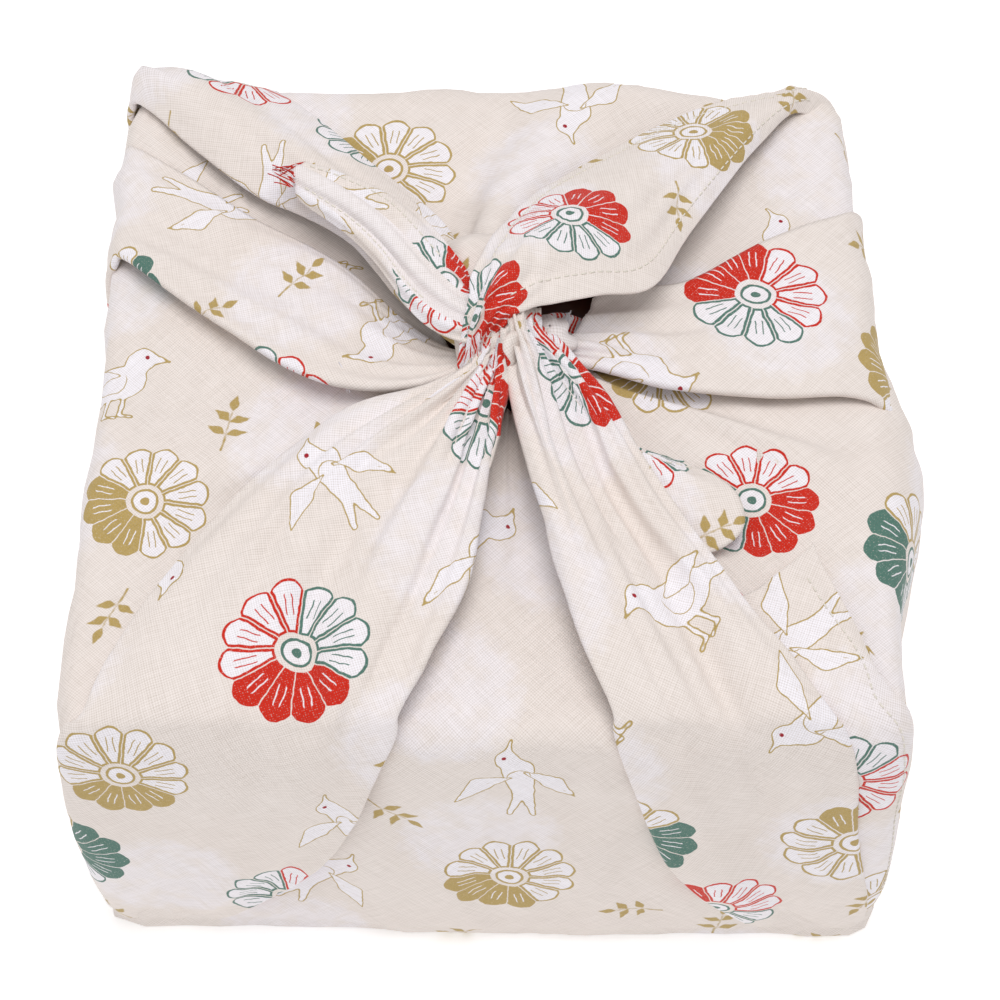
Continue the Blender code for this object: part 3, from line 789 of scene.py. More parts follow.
def joined_grids(sheets):
    """Points, faces, and each face's sheet, fold line and station, for all sheets in one mesh."""
    points, faces, facts = [], [], []
    for number, sheet in enumerate(sheets):
        ribs, stations = sheet.grid.shape[:2]
        start = len(points)
        ring = sheet.name in ("sack", "inner_layer", "core", "bump")
        points += list(sheet.grid[: ribs - 1 if ring else ribs].reshape(-1, 3))
        for i in range(ribs - 1):
            this = start + i * stations
            after = start + ((i + 1) % (ribs - 1) if ring else i + 1) * stations
            for j in range(stations - 1):
                faces.append((this + j, this + j + 1, after + j + 1, after + j))
                facts.append((
                    number,
                    (sheet.across[i] + sheet.across[i + 1]) / 2,
                    (sheet.along[j] + sheet.along[j + 1]) / 2,
                ))
    return points, faces, np.array(facts)


def island_of(facts):
    """Which flat piece of the print a face belongs to: the sack's four sides are apart."""
    side = np.zeros(len(facts))
    sack = facts[:, 0] == 0
    side[sack] = np.searchsorted(SACK_CORNERS, facts[sack, 1]) % len(SACK_CORNERS)
    return np.where(sack, side, facts[:, 0] + len(SACK_CORNERS)).astype(int)


def flatten(cloth, facts):
    """Unwraps the sheets and brings each flat piece to its real size in millimetres, with the
    threads at 45 degrees to its fold lines."""
    mesh = cloth.data
    islands = island_of(facts)
    edge_islands = {}
    for polygon, island in zip(mesh.polygons, islands):
        for key in polygon.edge_keys:
            edge_islands.setdefault(key, set()).add(int(island))
    for edge in mesh.edges:
        edge.use_seam = len(edge_islands[edge.key]) > 1
    mesh.uv_layers.new(name="cloth")
    select_only(cloth)
    bpy.ops.object.mode_set(mode="EDIT")
    bpy.ops.mesh.select_all(action="SELECT")
    bpy.ops.uv.unwrap(method="MINIMUM_STRETCH", iterations=12, margin=0.001)
    bpy.ops.object.mode_set(mode="OBJECT")
    layer = mesh.uv_layers["cloth"]
    flat = np.zeros(len(mesh.loops) * 2)
    layer.data.foreach_get("uv", flat)
    flat = flat.reshape(-1, 4, 2)
    size = np.zeros(len(mesh.polygons))
    mesh.polygons.foreach_get("area", size)
    for island in np.unique(islands):
        mine = islands == island
        corners = flat[mine]
        a, b = corners[:, 2] - corners[:, 0], corners[:, 3] - corners[:, 1]
        signed = 0.5 * (a[:, 0] * b[:, 1] - a[:, 1] * b[:, 0])
        if signed.sum() < 0:
            corners = corners * (-1, 1)
        scale = math.sqrt(size[mine].sum() / abs(signed).sum()) / MM
        way = (corners[:, 1] - corners[:, 0]).sum(axis=0)
        spin = math.radians(45) - math.atan2(way[1], way[0])
        turn = np.array([[math.cos(spin), math.sin(spin)], [-math.sin(spin), math.cos(spin)]])
        flat[mine] = (corners - corners.mean(axis=(0, 1))) @ turn * scale
    layer.data.foreach_set("uv", flat.ravel())
    return flat, islands


# The print is strewn over the cloth by a seeded draw: the large motifs in turn, then the sprigs in
# the room between them, and the faint clouds under both. Each is drawn so many times a flat piece
LARGE = (
    "bloom_red", "bird_fly", "bloom_gold", "bird_rest", "bloom_mixed", "bird_fly", "bloom_green",
    "bird_rest",
)
SMALL = ("sprig",)
FAINT = ("ghost",)
DRAWS = 260
SEED = 23

# One strewn motif: its middle face, kind, turn, size against the usual one, and -1 if it is
# printed the other way round
Motif = namedtuple("Motif", "home kind turn size flip")

# Where the cloth's pale reverse is outwards: the sheet and its fold lines
BARE = (("left_tail", 1.12, 2.32), ("bump", 0.0, 72.0))

KINDS = (
    "ground", "bird_fly", "bird_rest", "sprig", "bloom_red", "bloom_gold", "bloom_green",
    "bloom_mixed",
)
RADIUS = {
    "bird_fly": 20.5, "bird_rest": 19.0, "sprig": 9.5, "bloom_red": 19.0, "bloom_gold": 19.0,
    "bloom_green": 19.0, "bloom_mixed": 19.0, "ghost": 25.5,
}

# The least room between two motifs, and the least share of a motif that its flat piece holds: on
# the sack's sides, and on the narrower wings
MOTIF_GAP = 5.0
SACK_SHARE = 0.93
WING_SHARE = 0.6
MOTIF_ROOM = 2.6
NOWHERE = 200.0


def strewn(rng, kinds, taken, centres, size, islands, island):
    """Draws motifs of these kinds in turn on one flat piece, clear of each other and of those
    already taken. size is each face's area in square metres."""
    mine = np.flatnonzero(islands == island)
    middles, area = centres[mine], size[mine] / MM**2
    least = SACK_SHARE if island < len(SACK_CORNERS) else WING_SHARE
    made = []
    picks = rng.choice(len(mine), min(DRAWS, len(mine) // 2), replace=False, p=area / area.sum())
    for pick in picks:
        kind = kinds[len(made) % len(kinds)]
        motif = Motif(
            int(mine[pick]), kind, rng.uniform(0, 2 * math.pi), rng.uniform(0.88, 1.04),
            1 if rng.uniform() < 0.5 else -1,
        )
        radius = RADIUS[kind] * motif.size
        held = area[np.linalg.norm(middles - middles[pick], axis=1) < radius].sum()
        clear = all(
            np.linalg.norm(centres[other.home] - centres[motif.home])
            > radius + RADIUS[other.kind] * other.size + MOTIF_GAP
            for other in made + taken
        )
        if clear and held > least * math.pi * radius**2:
            made.append(motif)
    return made


def laid_out(motifs, flat, size, islands):
    """For each face the motif that it lies in, if any, and that motif's own coordinates in
    millimetres at its corners."""
    centres = flat.mean(axis=1)
    a, b = flat[:, 2] - flat[:, 0], flat[:, 3] - flat[:, 1]
    laid = 0.5 * np.abs(a[:, 0] * b[:, 1] - a[:, 1] * b[:, 0])
    nearest = np.full(len(flat), 1e9)
    kinds = np.array(["ground"] * len(flat), dtype=object)
    local = np.full(flat.shape, NOWHERE)
    for motif in motifs:
        middle = centres[motif.home]
        ahead = np.array([math.cos(motif.turn), math.sin(motif.turn)])
        above = np.array([-ahead[1], ahead[0]]) * motif.flip
        away = np.where(
            islands == islands[motif.home], np.linalg.norm(centres - middle, axis=1), 1e9
        )
        near = away < 0.6 * RADIUS[motif.kind]
        grown = math.sqrt(size[near].sum() / laid[near].sum()) / MM
        gap = away * grown - RADIUS[motif.kind] * motif.size
        mine = (gap < MOTIF_ROOM) & (gap < nearest)
        nearest[mine] = gap[mine]
        kinds[mine] = motif.kind
        off = flat[mine] - middle
        local[mine] = np.stack([off @ ahead, off @ above], axis=-1) * grown / motif.size
    return kinds, local


def lay_print(cloth, facts, flat, islands, names):
    """Gives each face the material of its motif, the motif's coordinates as the UV map motif, and
    its faint cloud's as the UV map faint."""
    mesh = cloth.data
    size = np.zeros(len(mesh.polygons))
    mesh.polygons.foreach_get("area", size)
    centres = flat.mean(axis=1)
    rng = np.random.default_rng(SEED)
    motifs, pale = [], []
    for island in np.unique(islands):
        large = strewn(rng, LARGE, [], centres, size, islands, island)
        motifs += large + strewn(rng, SMALL, large, centres, size, islands, island)
        pale += strewn(rng, FAINT, [], centres, size, islands, island)
    kinds, local = laid_out(motifs, flat, size, islands)
    mesh.uv_layers.new(name="motif").data.foreach_set("uv", local.ravel())
    slots = np.array([KINDS.index(kind) for kind in kinds])
    for name, low, high in BARE:
        bare = (facts[:, 0] == names.index(name)) & (facts[:, 1] > low) & (facts[:, 1] < high)
        slots[bare] = len(KINDS)
    mesh.polygons.foreach_set("material_index", slots)
    _, local = laid_out(pale, flat, size, islands)
    mesh.uv_layers.new(name="faint").data.foreach_set("uv", local.ravel())


class Socket:
    """A node's output in one material, which takes part in Python's own maths."""

    def __init__(self, maker, socket):
        self.maker, self.socket = maker, socket

    def math(self, operation, *others, clamp=False):
        values = dict(enumerate((self,) + others))
        return self.maker.node("ShaderNodeMath", {"operation": operation, "use_clamp": clamp}, values)

    def __add__(self, other):
        return self.math("ADD", other)

    def __radd__(self, other):
        return self.math("ADD", other)

    def __sub__(self, other):
        return self.math("SUBTRACT", other)

    def __rsub__(self, other):
        return self.maker.value(other, "SUBTRACT", self)

    def __mul__(self, other):
        return self.math("MULTIPLY", other)

    def __rmul__(self, other):
        return self.math("MULTIPLY", other)

    def __truediv__(self, other):
        return self.math("DIVIDE", other)

    def __neg__(self):
        return self.math("MULTIPLY", -1.0)

    def __abs__(self):
        return self.math("ABSOLUTE")

    def __mod__(self, other):
        return self.math("FLOORED_MODULO", other)


class Finish:
    """One material, with a node method for everything that Python's maths doesn't add."""

    def __init__(self, name):
        self.material = bpy.data.materials.new(name)
        self.material.use_nodes = True
        self.tree = self.material.node_tree
        self.tree.nodes.clear()

    def node(self, kind, settings=None, values=None, out=0):
        made = self.tree.nodes.new(kind)
        for key, value in (settings or {}).items():
            setattr(made, key, value)
        for key, value in (values or {}).items():
            if isinstance(value, Socket):
                self.tree.links.new(value.socket, made.inputs[key])
            else:
                made.inputs[key].default_value = value
        return Socket(self, made.outputs[out]) if made.outputs else None

    def value(self, first, operation, second):
        return self.node("ShaderNodeMath", {"operation": operation}, {0: first, 1: second})

    def vector(self, operation, first, second=None, out=0, scale=None):
        values = {0: first}
        if second is not None:
            values[1] = second
        if scale is not None:
            values["Scale"] = scale
        return self.node("ShaderNodeVectorMath", {"operation": operation}, values, out)

    def uv(self, name):
        return self.node("ShaderNodeUVMap", {"uv_map": name})

    def parts(self, vector):
        split = self.node("ShaderNodeSeparateXYZ", {}, {0: vector})
        outputs = split.socket.node.outputs
        return Socket(self, outputs[0]), Socket(self, outputs[1])

    def noise(self, vector, scale, detail=2.0, rough=0.5):
        return self.node("ShaderNodeTexNoise", {}, {
            "Vector": vector, "Scale": scale, "Detail": detail, "Roughness": rough
        })

    def blend(self, share, first, second):
        first, second = (
            tuple(c) + (1.0,) if not isinstance(c, Socket) and len(c) == 3 else c
            for c in (first, second)
        )
        return self.node("ShaderNodeMix", {"data_type": "RGBA"}, {0: share, 6: first, 7: second}, 2)

    def finish(self, colour, roughness, normal=None, **constants):
        shader = self.node("ShaderNodeBsdfPrincipled", {}, {
            "Base Color": colour, "Roughness": roughness, **constants
        })
        if normal:
            self.tree.links.new(normal.socket, shader.socket.node.inputs["Normal"])
        self.node("ShaderNodeOutputMaterial", {}, {"Surface": shader})
        return self.material


def cover(distance, soft=0.16):
    """1 inside a shape and 0 outside it, over a soft edge, from the distance to its outline."""
    return distance.math("MULTIPLY_ADD", -1.0 / soft, 0.5, clamp=True)


def limb(finish, p, row):
    """The distance from a tapered limb: two ends and their radii."""
    x0, y0, r0, x1, y1, r1 = row
    dx, dy = x1 - x0, y1 - y0
    long = dx * dx + dy * dy
    share = finish.vector("DOT_PRODUCT", p, (dx / long, dy / long, 0.0), out="Value")
    share = share.math("ADD", -(x0 * dx + y0 * dy) / long, clamp=True)
    nearest = finish.vector("SUBTRACT", p, finish.vector("SCALE", (dx, dy, 0.0), scale=share))
    off = finish.vector("DISTANCE", nearest, (x0, y0, 0.0), out="Value")
    return off - share.math("MULTIPLY_ADD", r1 - r0, r0)


# A bird drawn with tapered limbs, in millimetres with its beak to the right. A limb is two ends
# and their radii; a wing is its root, middle and tip, and its half width; a fold is an arc's
# middle, radius and the way that it opens to
BIRDS = {
    "bird_fly": {
        "body": (
            (-6.0, -1.0, 3.2, 4.0, 1.2, 4.4), (7.4, 4.0, 3.3, 8.6, 4.6, 3.1),
            (10.6, 4.8, 1.3, 15.2, 4.0, 0.35), (-7.0, -1.8, 2.2, -18.2, -5.0, 0.8),
            (-7.0, -0.8, 2.0, -17.8, 1.4, 0.8),
        ),
        "wings": (
            (0.6, 2.6, -4.0, 10.4, -11.4, 16.6, 3.3), (2.8, -0.6, -1.0, -8.6, -8.4, -15.2, 3.0),
        ),
        "eye": (8.8, 5.2),
        "fold": (0.6, 0.6, 3.2, 1.0, 0.2),
    },
    "bird_rest": {
        "body": (
            (-4.5, -1.5, 6.0, 3.2, 0.2, 5.6), (6.0, 6.0, 4.0, 7.2, 7.0, 3.8),
            (10.4, 7.2, 1.4, 14.8, 6.2, 0.35), (-9.5, -2.8, 2.6, -17.2, -6.6, 1.2),
            (-1.2, -7.0, 0.8, -2.0, -12.6, 0.6), (3.0, -5.6, 0.8, 2.8, -12.0, 0.6),
            (-2.0, -12.6, 0.6, 1.6, -13.4, 0.5), (2.8, -12.0, 0.6, 6.2, -12.8, 0.5),
        ),
        "wings": ((0.8, 2.4, -6.6, 2.6, -15.0, 1.0, 3.2),),
        "eye": (8.4, 8.0),
        "fold": (-2.0, 0.6, 5.0, 0.3, -1.0),
    },
}


def leaf(finish, p, row):
    """The distance from a narrow leaf or wing: its root, middle and tip, and its half width."""
    x0, y0, xm, ym, x1, y1, wide = row
    low = limb(finish, p, (x0, y0, 0.3, xm, ym, wide))
    return low.math("SMOOTH_MIN", limb(finish, p, (xm, ym, wide, x1, y1, 0.3)), 0.8)


def bird(finish, p, look, colours):
    """A white bird with a thin gold outline and a dark red eye: its paint and how much covers."""
    drawn = BIRDS[look]
    shape = None
    for row in drawn["body"]:
        part = limb(finish, p, row)
        shape = part if shape is None else shape.math("SMOOTH_MIN", part, 1.4)
    half = colours["line"] / 2
    line = None
    for row in drawn["wings"]:
        x0, y0, xm, ym, x1, y1, _ = row
        wing = leaf(finish, p, row)
        rib = cover(limb(finish, p, (mix(x0, xm, 0.3), mix(y0, ym, 0.3), 0.1,
                                     mix(xm, x1, 0.6), mix(ym, y1, 0.6), 0.25)))
        edge = cover(abs(wing) - 0.7 * half).math("MAXIMUM", rib)
        line = edge if line is None else line.math("MAXIMUM", edge)
        shape = shape.math("SMOOTH_MIN", wing, 0.3)
    line = line.math("MAXIMUM", cover(abs(shape) - half))
    x, y, radius, ahead, above = drawn["fold"]
    ring = finish.vector("DISTANCE", p, (x, y, 0.0), out="Value") - radius
    side = finish.vector("DOT_PRODUCT", p, (ahead, above, 0.0), out="Value")
    side = side - (x * ahead + y * above)
    line = line.math("MAXIMUM", cover(abs(ring) - 0.7 * half) * cover(-1.0 * side, 1.5))
    eye = finish.vector("DISTANCE", p, (*drawn["eye"], 0.0), out="Value") - 0.7
    paint = finish.blend(line, colours["white"], colours["gold"])
    paint = finish.blend(cover(eye), paint, colours["eye"])
    return paint, cover(shape - half)


# A sprig in millimetres: its stem as a limb, and its leaves
STEM = (-7.0, -4.6, 0.45, 4.4, 2.9, 0.3)
LEAVES = (
    (4.2, 2.8, 6.2, 4.1, 8.6, 5.8, 1.3), (1.2, 0.9, 1.0, 3.2, 0.2, 6.2, 1.3),
    (1.4, 0.8, 3.8, 0.3, 6.8, -0.9, 1.3), (-2.6, -1.6, -3.2, 0.7, -4.4, 3.6, 1.3),
    (-2.4, -1.7, -0.2, -2.9, 2.4, -4.8, 1.3),
)


def sprig(finish, p, colours):
    """A gold sprig of five leaves."""
    mask = cover(limb(finish, p, STEM), 0.3)
    for row in LEAVES:
        mask = mask.math("MAXIMUM", cover(leaf(finish, p, row), 0.3))
    return colours["gold"], mask


# A bloom's petals, the reach of their ends and roots, and the radius of its heart
PETALS = 12
PETAL_END = 18.2
PETAL_ROOT = 5.6
HEART = 3.6


def bloom(finish, p, inks, fill, heart):
    """A roundel of petals in three groups: the first is solid with pale ribs, the others are
    outlined."""
    x, y = finish.parts(p)
    reach = finish.vector("LENGTH", p, out="Value")
    petal = 2 * math.pi / PETALS
    turn = y.math("ARCTAN2", x) / petal + (PETALS + 0.5)
    off = (turn % 1.0) - 0.5
    border = (0.5 - abs(off)) * reach * petal
    end = reach - PETAL_END + off * off * 10.0
    shape = end.math("MAXIMUM", PETAL_ROOT - reach).math("MAXIMUM", 0.45 - border)
    group = (turn % PETALS) * (3 / PETALS)
    first = group.math("LESS_THAN", 1.0)
    last = group.math("GREATER_THAN", 2.0)
    ink = finish.blend(first, finish.blend(last, inks[1], inks[2]), inks[0])
    ribs = abs((abs(off) * reach) * petal - 0.9) - 0.16
    ribs = cover(ribs.math("MAXIMUM", abs(reach - 12.0) - 3.4 + abs(off) * 6.0))
    body = finish.blend(first, fill, inks[0])
    body = finish.blend(ribs, body, finish.blend(first, ink, fill))
    paint = finish.blend(cover(abs(shape) - 0.4), body, ink)
    disc = cover(reach - HEART)
    seed = cover(abs(reach - HEART) - 0.4).math("MAXIMUM", cover(reach - 1.3))
    paint = finish.blend(cover(reach - HEART - 0.4), paint, finish.blend(seed, fill, heart))
    return paint, cover(shape - 0.3).math("MAXIMUM", disc).math("MAXIMUM", seed)


def faint(finish, p, colours):
    """A soft cloud in a faint cool white, uneven as if blotted."""
    blot = finish.noise(p, 0.20, 3.0, 0.6)
    reach = finish.vector("LENGTH", p, out="Value") + (blot - 0.5) * 12.0
    patches = finish.noise(p, 0.14, 2.0).math("MULTIPLY_ADD", 5.0, -1.7, clamp=True)
    mask = cover(reach - 21.0, 5.0) * (0.28 + patches * 0.4)
    return colours["ghost"], mask


# What the cotton's colour is multiplied by: painted shade in the gaps of the weave and a painted
# highlight on top of its threads
GAP_PAINTED_SHADE = (0.80, 0.775, 0.74)
THREAD_PAINTED_HIGHLIGHT = (1.10, 1.10, 1.105)


def cotton(name, motif, colours, sizes, printed=True):
    """Plain-woven cotton with one kind of print: the weave, its slubs and its faint fuzz, with painted
    shade in the weave's gaps and a painted highlight on its threads.
    """
    finish = Finish(name)
    cloth = finish.uv("cloth")
    u, v = finish.parts(cloth)
    pitch = sizes["weave"]
    wobble = finish.noise(cloth, 0.22, 3.0) - 0.5
    warp = ((u + wobble * 0.35) * (math.pi / pitch)).math("SINE")
    weft = ((v + wobble * 0.35) * (math.pi / pitch)).math("SINE")
    over = (warp * weft).math("MULTIPLY_ADD", 0.5, 0.5)
    thread = abs(warp) * over + abs(weft) * (1.0 - over)
    slub_u = finish.noise(finish.vector("MULTIPLY", cloth, (0.10, 1.9, 0.0)), 1.0, 2.0)
    slub_v = finish.noise(finish.vector("MULTIPLY", cloth, (1.9, 0.10, 0.0)), 1.0, 2.0)
    slub = (slub_u + slub_v) - 1.0
    cloud = finish.noise(cloth, 0.03, 2.0) - 0.5
    ground = finish.blend(cloud.math("MULTIPLY_ADD", 1.2, 0.5, clamp=True),
                          colours["ground"], colours["ground_pale"])
    if printed:
        pale, share = faint(finish, finish.uv("faint"), colours)
        ground = finish.blend(share, ground, pale)
    if motif:
        p = finish.uv("motif")
        jitter = finish.vector("SCALE", finish.node("ShaderNodeTexNoise", {}, {
            "Vector": p, "Scale": 0.4, "Detail": 1.0}, "Color"), scale=0.7)
        paint, mask = motif(finish, finish.vector("ADD", p, jitter))
        worn = (finish.noise(p, 1.6, 3.0) + thread * 0.5).math("MULTIPLY_ADD", 2.2, -0.5, clamp=True)
        ground = finish.blend(mask * worn, ground, paint)
    # Painted shade and highlight from the weave's relief: darker in its gaps, lighter on thread tops and
    # slubs
    shade = finish.blend((thread + slub * 0.7).math("ADD", 0.0, clamp=True), GAP_PAINTED_SHADE, THREAD_PAINTED_HIGHLIGHT)
    colour = finish.blend(1.0, ground, shade)
    colour.socket.node.blend_type = "MULTIPLY"
    height = thread * 0.7 + slub * 0.9
    bump = finish.node("ShaderNodeBump", {}, {
        "Strength": 0.30, "Distance": 0.00018, "Height": height
    })
    rough = slub.math("MULTIPLY_ADD", 0.2, 0.86)
    return finish.finish(colour, rough, bump, **{"Sheen Weight": 0.12, "Sheen Roughness": 0.5,
                                                 "Specular IOR Level": 0.25})


def thread_finish(name, colour):
    """Twisted sewing cotton."""
    finish = Finish(name)
    place = finish.node("ShaderNodeTexCoord", out="Object")
    twist = finish.noise(place, 2600.0, 2.0)
    shade = finish.blend(twist, tuple(0.78 * c for c in colour), colour)
    bump = finish.node("ShaderNodeBump", {}, {"Strength": 0.3, "Distance": 0.00005, "Height": twist})
    return finish.finish(shade, twist.math("MULTIPLY_ADD", 0.2, 0.7), bump)


def cloth_finishes(colours, sizes):
    """The cloth's materials: one for each kind of motif in the order of KINDS, then its reverse."""
    white, red, gold, green = (colours[c] for c in ("white", "red", "gold", "green"))
    drawn = {
        "bird_fly": lambda f, p: bird(f, p, "bird_fly", colours),
        "bird_rest": lambda f, p: bird(f, p, "bird_rest", colours),
        "sprig": lambda f, p: sprig(f, p, colours),
        "bloom_red": lambda f, p: bloom(f, p, (red, red, green), white, green),
        "bloom_gold": lambda f, p: bloom(f, p, (gold, gold, gold), white, gold),
        "bloom_green": lambda f, p: bloom(f, p, (green, green, gold), white, green),
        "bloom_mixed": lambda f, p: bloom(f, p, (red, green, red), white, green),
    }
    made = [cotton("cotton_" + kind, drawn.get(kind), colours, sizes) for kind in KINDS]
    reverse = dict(colours, ground=colours["ghost"], ground_pale=colours["ground_pale"])
    return made + [cotton("cotton_reverse", None, reverse, sizes, False)]


class WrapSizes(bpy.types.PropertyGroup):
    """Sizes of the cloth, its hem and its print"""

    thickness: bpy.props.FloatProperty(
        name="Thickness", description="Thickness of the cotton", default=0.00045, min=0.0002,
        max=0.0012, unit="LENGTH")
    crease: bpy.props.FloatProperty(
        name="Creasing", description="How deep gathers and creases are, against the usual depth",
        default=1.0, min=0.0, max=2.0, subtype="FACTOR")
    weave: bpy.props.FloatProperty(
        name="Thread pitch", description="From one thread of the plain weave to the next, in mm",
        default=0.6, min=0.3, max=1.5)
    line: bpy.props.FloatProperty(
        name="Line", description="Width of the printed outlines, in mm", default=0.38, min=0.2,
        max=1.5)
    stitch_pitch: bpy.props.FloatProperty(
        name="Stitch pitch", description="From one hem stitch to the next", default=0.0026,
        min=0.0015, max=0.005, unit="LENGTH")


class WrapColours(bpy.types.PropertyGroup):
    """Colours of the cotton, its print and the box"""

    ground: bpy.props.FloatVectorProperty(
        name="Ground", description="Cream ground of the cotton", subtype="COLOR", size=3,
        default=(0.80, 0.727, 0.685), min=0.0, max=1.0)
    ground_pale: bpy.props.FloatVectorProperty(
        name="Pale ground", description="The ground where it is washed paler", subtype="COLOR",
        size=3, default=(0.825, 0.765, 0.73), min=0.0, max=1.0)
    white: bpy.props.FloatVectorProperty(
        name="White", description="White of the birds and petals", subtype="COLOR", size=3,
        default=(0.88, 0.855, 0.90), min=0.0, max=1.0)
    ghost: bpy.props.FloatVectorProperty(
        name="Faint clouds", description="Cool white of the faint clouds", subtype="COLOR",
        size=3, default=(0.87, 0.835, 0.875), min=0.0, max=1.0)
    red: bpy.props.FloatVectorProperty(
        name="Red", description="Red of the blooms", subtype="COLOR", size=3,
        default=(0.60, 0.020, 0.006), min=0.0, max=1.0)
    green: bpy.props.FloatVectorProperty(
        name="Green", description="Grey green of the blooms", subtype="COLOR", size=3,
        default=(0.085, 0.19, 0.155), min=0.0, max=1.0)
    gold: bpy.props.FloatVectorProperty(
        name="Gold", description="Gold of outlines and sprigs", subtype="COLOR", size=3,
        default=(0.47, 0.34, 0.12), min=0.0, max=1.0)
    eye: bpy.props.FloatVectorProperty(
        name="Eye", description="Dark red of the birds' eyes", subtype="COLOR", size=3,
        default=(0.35, 0.008, 0.02), min=0.0, max=1.0)
    lid: bpy.props.FloatVectorProperty(
        name="Lid", description="Dark brown of the lidded box", subtype="COLOR", size=3,
        default=(0.105, 0.030, 0.014), min=0.0, max=1.0)


class WrapStage(bpy.types.PropertyGroup):
    """The floor, light and camera"""

    floor: bpy.props.FloatVectorProperty(
        name="Floor", description="Colour of the floor", subtype="COLOR", size=3,
        default=(0.97, 0.97, 0.97), min=0.0, max=1.0)
    sky: bpy.props.FloatProperty(
        name="Sky", description="Strength of the light from all round", default=0.51, min=0.0,
        max=4.0)
    key: bpy.props.FloatProperty(
        name="Key light", description="Power of the large soft light", default=11.0, min=0.0,
        max=200.0, unit="POWER")
    lens: bpy.props.FloatProperty(
        name="Lens", description="Focal length of the camera, in mm", default=89.28, min=20.0,
        max=300.0)


COLOURS = ("ground", "ground_pale", "white", "ghost", "red", "green", "gold", "eye", "lid")


def colours_of(scene):
    return {name: tuple(getattr(scene.wrap_colours, name)) for name in COLOURS}


def sheets_of(scene):
    return folded_sheets(round(scene.wrap_sizes.crease, 4)) + [
        Sheet(lump.name, lump_grid(lump), marks(1, 72), marks(1, 30)) for lump in LUMPS
    ]


class WRAP_OT_cloth(bpy.types.Operator):
    """Fold the square cotton cloth round the box and print it"""

    bl_idname = "wrap.cloth"
    bl_label = "Fold and print the cloth"

    def execute(self, context):
        scene = context.scene
        sheets = sheets_of(scene)
        points, faces, facts = joined_grids(sheets)
        cloth = new_object("furoshiki_cloth", points, faces)
        cloth.data.polygons.foreach_set("use_smooth", [True] * len(faces))
        flat, islands = flatten(cloth, facts)
        sizes = {"weave": scene.wrap_sizes.weave}
        colours = dict(colours_of(scene), line=scene.wrap_sizes.line)
        for material in cloth_finishes(colours, sizes):
            cloth.data.materials.append(material)
        lay_print(cloth, facts, flat, islands, [sheet.name for sheet in sheets])
        shell = cloth.modifiers.new("thickness", "SOLIDIFY")
        shell.thickness = scene.wrap_sizes.thickness
        shell.offset = -1.0
        shell.material_offset = len(KINDS)
        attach(cloth, "root")
        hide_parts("cloth")
        return {"FINISHED"}


def threads(name, points, faces, material):
    obj = new_object(name, points, faces)
    obj.data.polygons.foreach_set("use_smooth", [True] * len(faces))
    obj.data.materials.append(material)
    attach(obj, "root")
    return obj


class WRAP_OT_hems(bpy.types.Operator):
    """Sew the stitches that show along the cloth's hems"""

    bl_idname = "wrap.hems"
    bl_label = "Sew the hems"

    def execute(self, context):
        scene = context.scene
        made = stitches(sheets_of(scene), scene.wrap_sizes.stitch_pitch / MM)
        threads("hem_stitches", *made, thread_finish("sewing_thread", (0.90, 0.85, 0.76)))
        return {"FINISHED"}


class WRAP_OT_fray(bpy.types.Operator):
    """Fray the threads of the tail's tip and by the knot"""

    bl_idname = "wrap.fray"
    bl_label = "Fray the threads"

    def execute(self, context):
        colours = colours_of(context.scene)
        for name, red in (("frayed_threads", False), ("frayed_red_threads", True)):
            finish = thread_finish(name + "_finish", colours["red" if red else "white"])
            threads(name, *frayed(red), finish)
        return {"FINISHED"}


class WRAP_OT_lid(bpy.types.Operator):
    """Give the lidded box inside its dark brown lacquer"""

    bl_idname = "wrap.lid"
    bl_label = "Finish the box"

    def execute(self, context):
        finish = Finish("brown_lacquer_finish")
        place = finish.node("ShaderNodeTexCoord", out="Object")
        grain = finish.noise(finish.vector("MULTIPLY", place, (20.0, 320.0, 60.0)), 1.0, 4.0)
        lid = colours_of(context.scene)["lid"]
        dark = tuple(0.55 * c for c in lid)
        colour = finish.blend(grain, dark, lid)
        rough = grain.math("MULTIPLY_ADD", 0.18, 0.28)
        bump = finish.node("ShaderNodeBump", {}, {"Strength": 0.15, "Distance": 0.0002, "Height": grain})
        material = finish.finish(colour, rough, bump, **{"Coat Weight": 0.3, "Coat Roughness": 0.2})
        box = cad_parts["box"]
        for slot in box.material_slots:
            slot.material = material
        return {"FINISHED"}


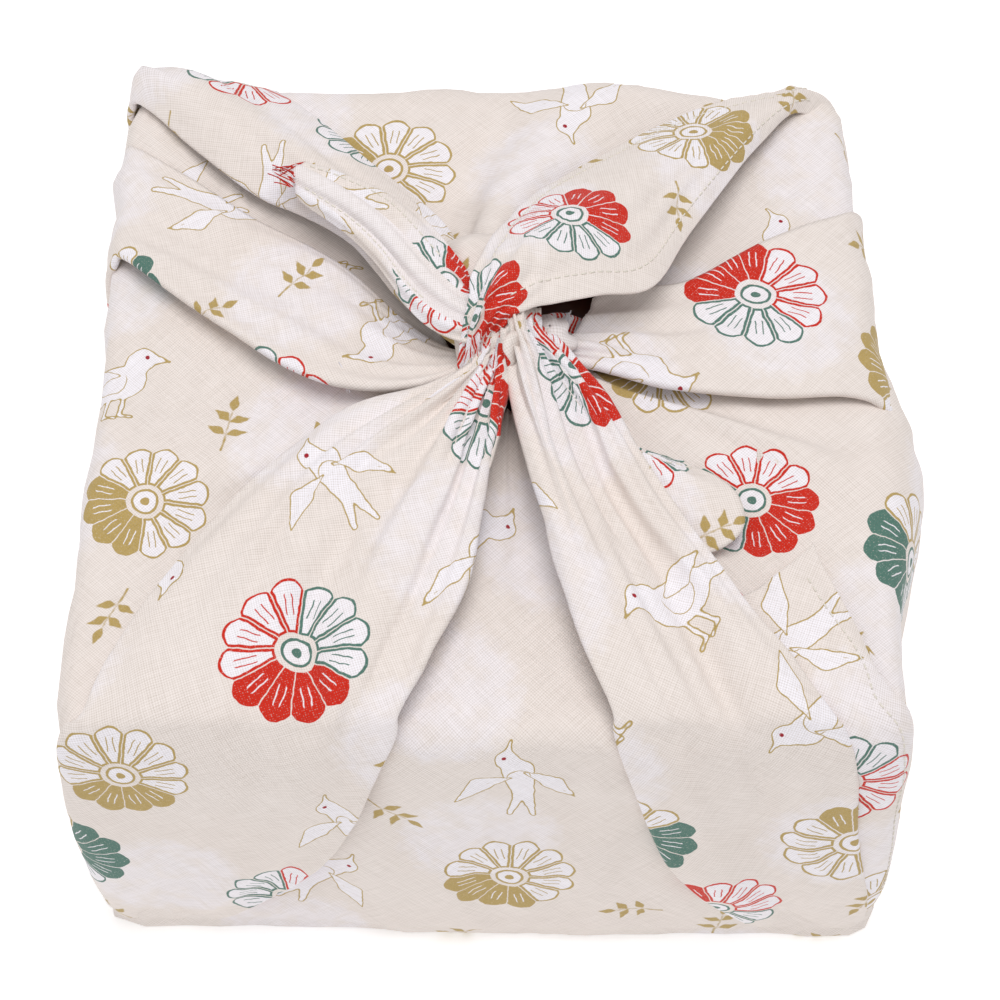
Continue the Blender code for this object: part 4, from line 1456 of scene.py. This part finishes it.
class WRAP_OT_stage(bpy.types.Operator):
    """Set the pale floor, the soft studio light and the camera"""

    bl_idname = "wrap.stage"
    bl_label = "Set the stage"

    def execute(self, context):
        scene, look = context.scene, context.scene.wrap_stage
        bpy.ops.object.select_all(action="DESELECT")
        bpy.ops.mesh.primitive_plane_add(size=8.0, location=(0.0, 0.0, 0.0))
        floor = context.object
        floor.name = "floor"
        finish = Finish("floor_paper")
        place = finish.node("ShaderNodeTexCoord", out="Object")
        grain = finish.noise(place, 3.0, 2.0)
        pale = tuple(look.floor)
        colour = finish.blend(grain, tuple(0.985 * c for c in pale), pale)
        floor.data.materials.append(finish.finish(colour, 0.8, **{
            "Emission Color": (1.0, 1.0, 1.0, 1.0), "Emission Strength": 0.3}))

        world = bpy.data.worlds.new("studio")
        scene.world = world
        world.use_nodes = True
        sky = world.node_tree.nodes["Background"]
        sky.inputs["Color"].default_value = (1.0, 1.0, 1.0, 1.0)
        sky.inputs["Strength"].default_value = look.sky

        lights = (
            ("key", (0.05, -0.05, 1.5), 0.9, look.key, (1.0, 0.98, 0.975)),
            ("fill", (-0.9, -0.7, 1.1), 1.2, 0.15 * look.key, (0.98, 0.98, 1.0)),
        )
        for name, location, size, power, tint in lights:
            lamp = bpy.data.lights.new(name, "AREA")
            lamp.size, lamp.energy, lamp.color = size, power, tint
            obj = bpy.data.objects.new(name, lamp)
            obj.location = location
            aim = Vector((0.0, 0.0, 0.05)) - obj.location
            obj.rotation_euler = aim.to_track_quat("-Z", "Y").to_euler()
            scene.collection.objects.link(obj)

        lens = bpy.data.cameras.new("camera")
        lens.lens = look.lens
        lens.sensor_width = 36.0
        camera = bpy.data.objects.new("camera", lens)
        camera.location = (-0.0014, -0.3959, 0.605)
        camera.rotation_euler = (math.radians(35.6), 0.0, 0.0)
        scene.collection.objects.link(camera)
        scene.camera = camera
        scene.view_settings.view_transform = "Standard"
        return {"FINISHED"}


class WRAP_PT_panel(bpy.types.Panel):
    """Sizes, colours and steps of the furoshiki wrap"""

    bl_label = "Furoshiki wrap"
    bl_idname = "WRAP_PT_panel"
    bl_space_type = "VIEW_3D"
    bl_region_type = "UI"
    bl_category = "Furoshiki"

    def draw(self, context):
        layout = self.layout
        for group in (context.scene.wrap_sizes, context.scene.wrap_colours, context.scene.wrap_stage):
            box = layout.box()
            for name in group.__annotations__:
                box.prop(group, name)
        for operator in OPERATORS:
            layout.operator(operator.bl_idname)


OPERATORS = (WRAP_OT_hems, WRAP_OT_fray, WRAP_OT_cloth, WRAP_OT_lid, WRAP_OT_stage)
CLASSES = (WrapSizes, WrapColours, WrapStage) + OPERATORS + (WRAP_PT_panel,)


def register():
    for cls in CLASSES:
        bpy.utils.register_class(cls)
    bpy.types.Scene.wrap_sizes = bpy.props.PointerProperty(type=WrapSizes)
    bpy.types.Scene.wrap_colours = bpy.props.PointerProperty(type=WrapColours)
    bpy.types.Scene.wrap_stage = bpy.props.PointerProperty(type=WrapStage)


def unregister():
    del bpy.types.Scene.wrap_stage
    del bpy.types.Scene.wrap_colours
    del bpy.types.Scene.wrap_sizes
    for cls in reversed(CLASSES):
        bpy.utils.unregister_class(cls)


def main():
    register()
    bpy.ops.wrap.stage()
    bpy.ops.wrap.hems()
    bpy.ops.wrap.fray()
    bpy.ops.wrap.cloth()
    bpy.ops.wrap.lid()


if __name__ == "__main__":
    main()
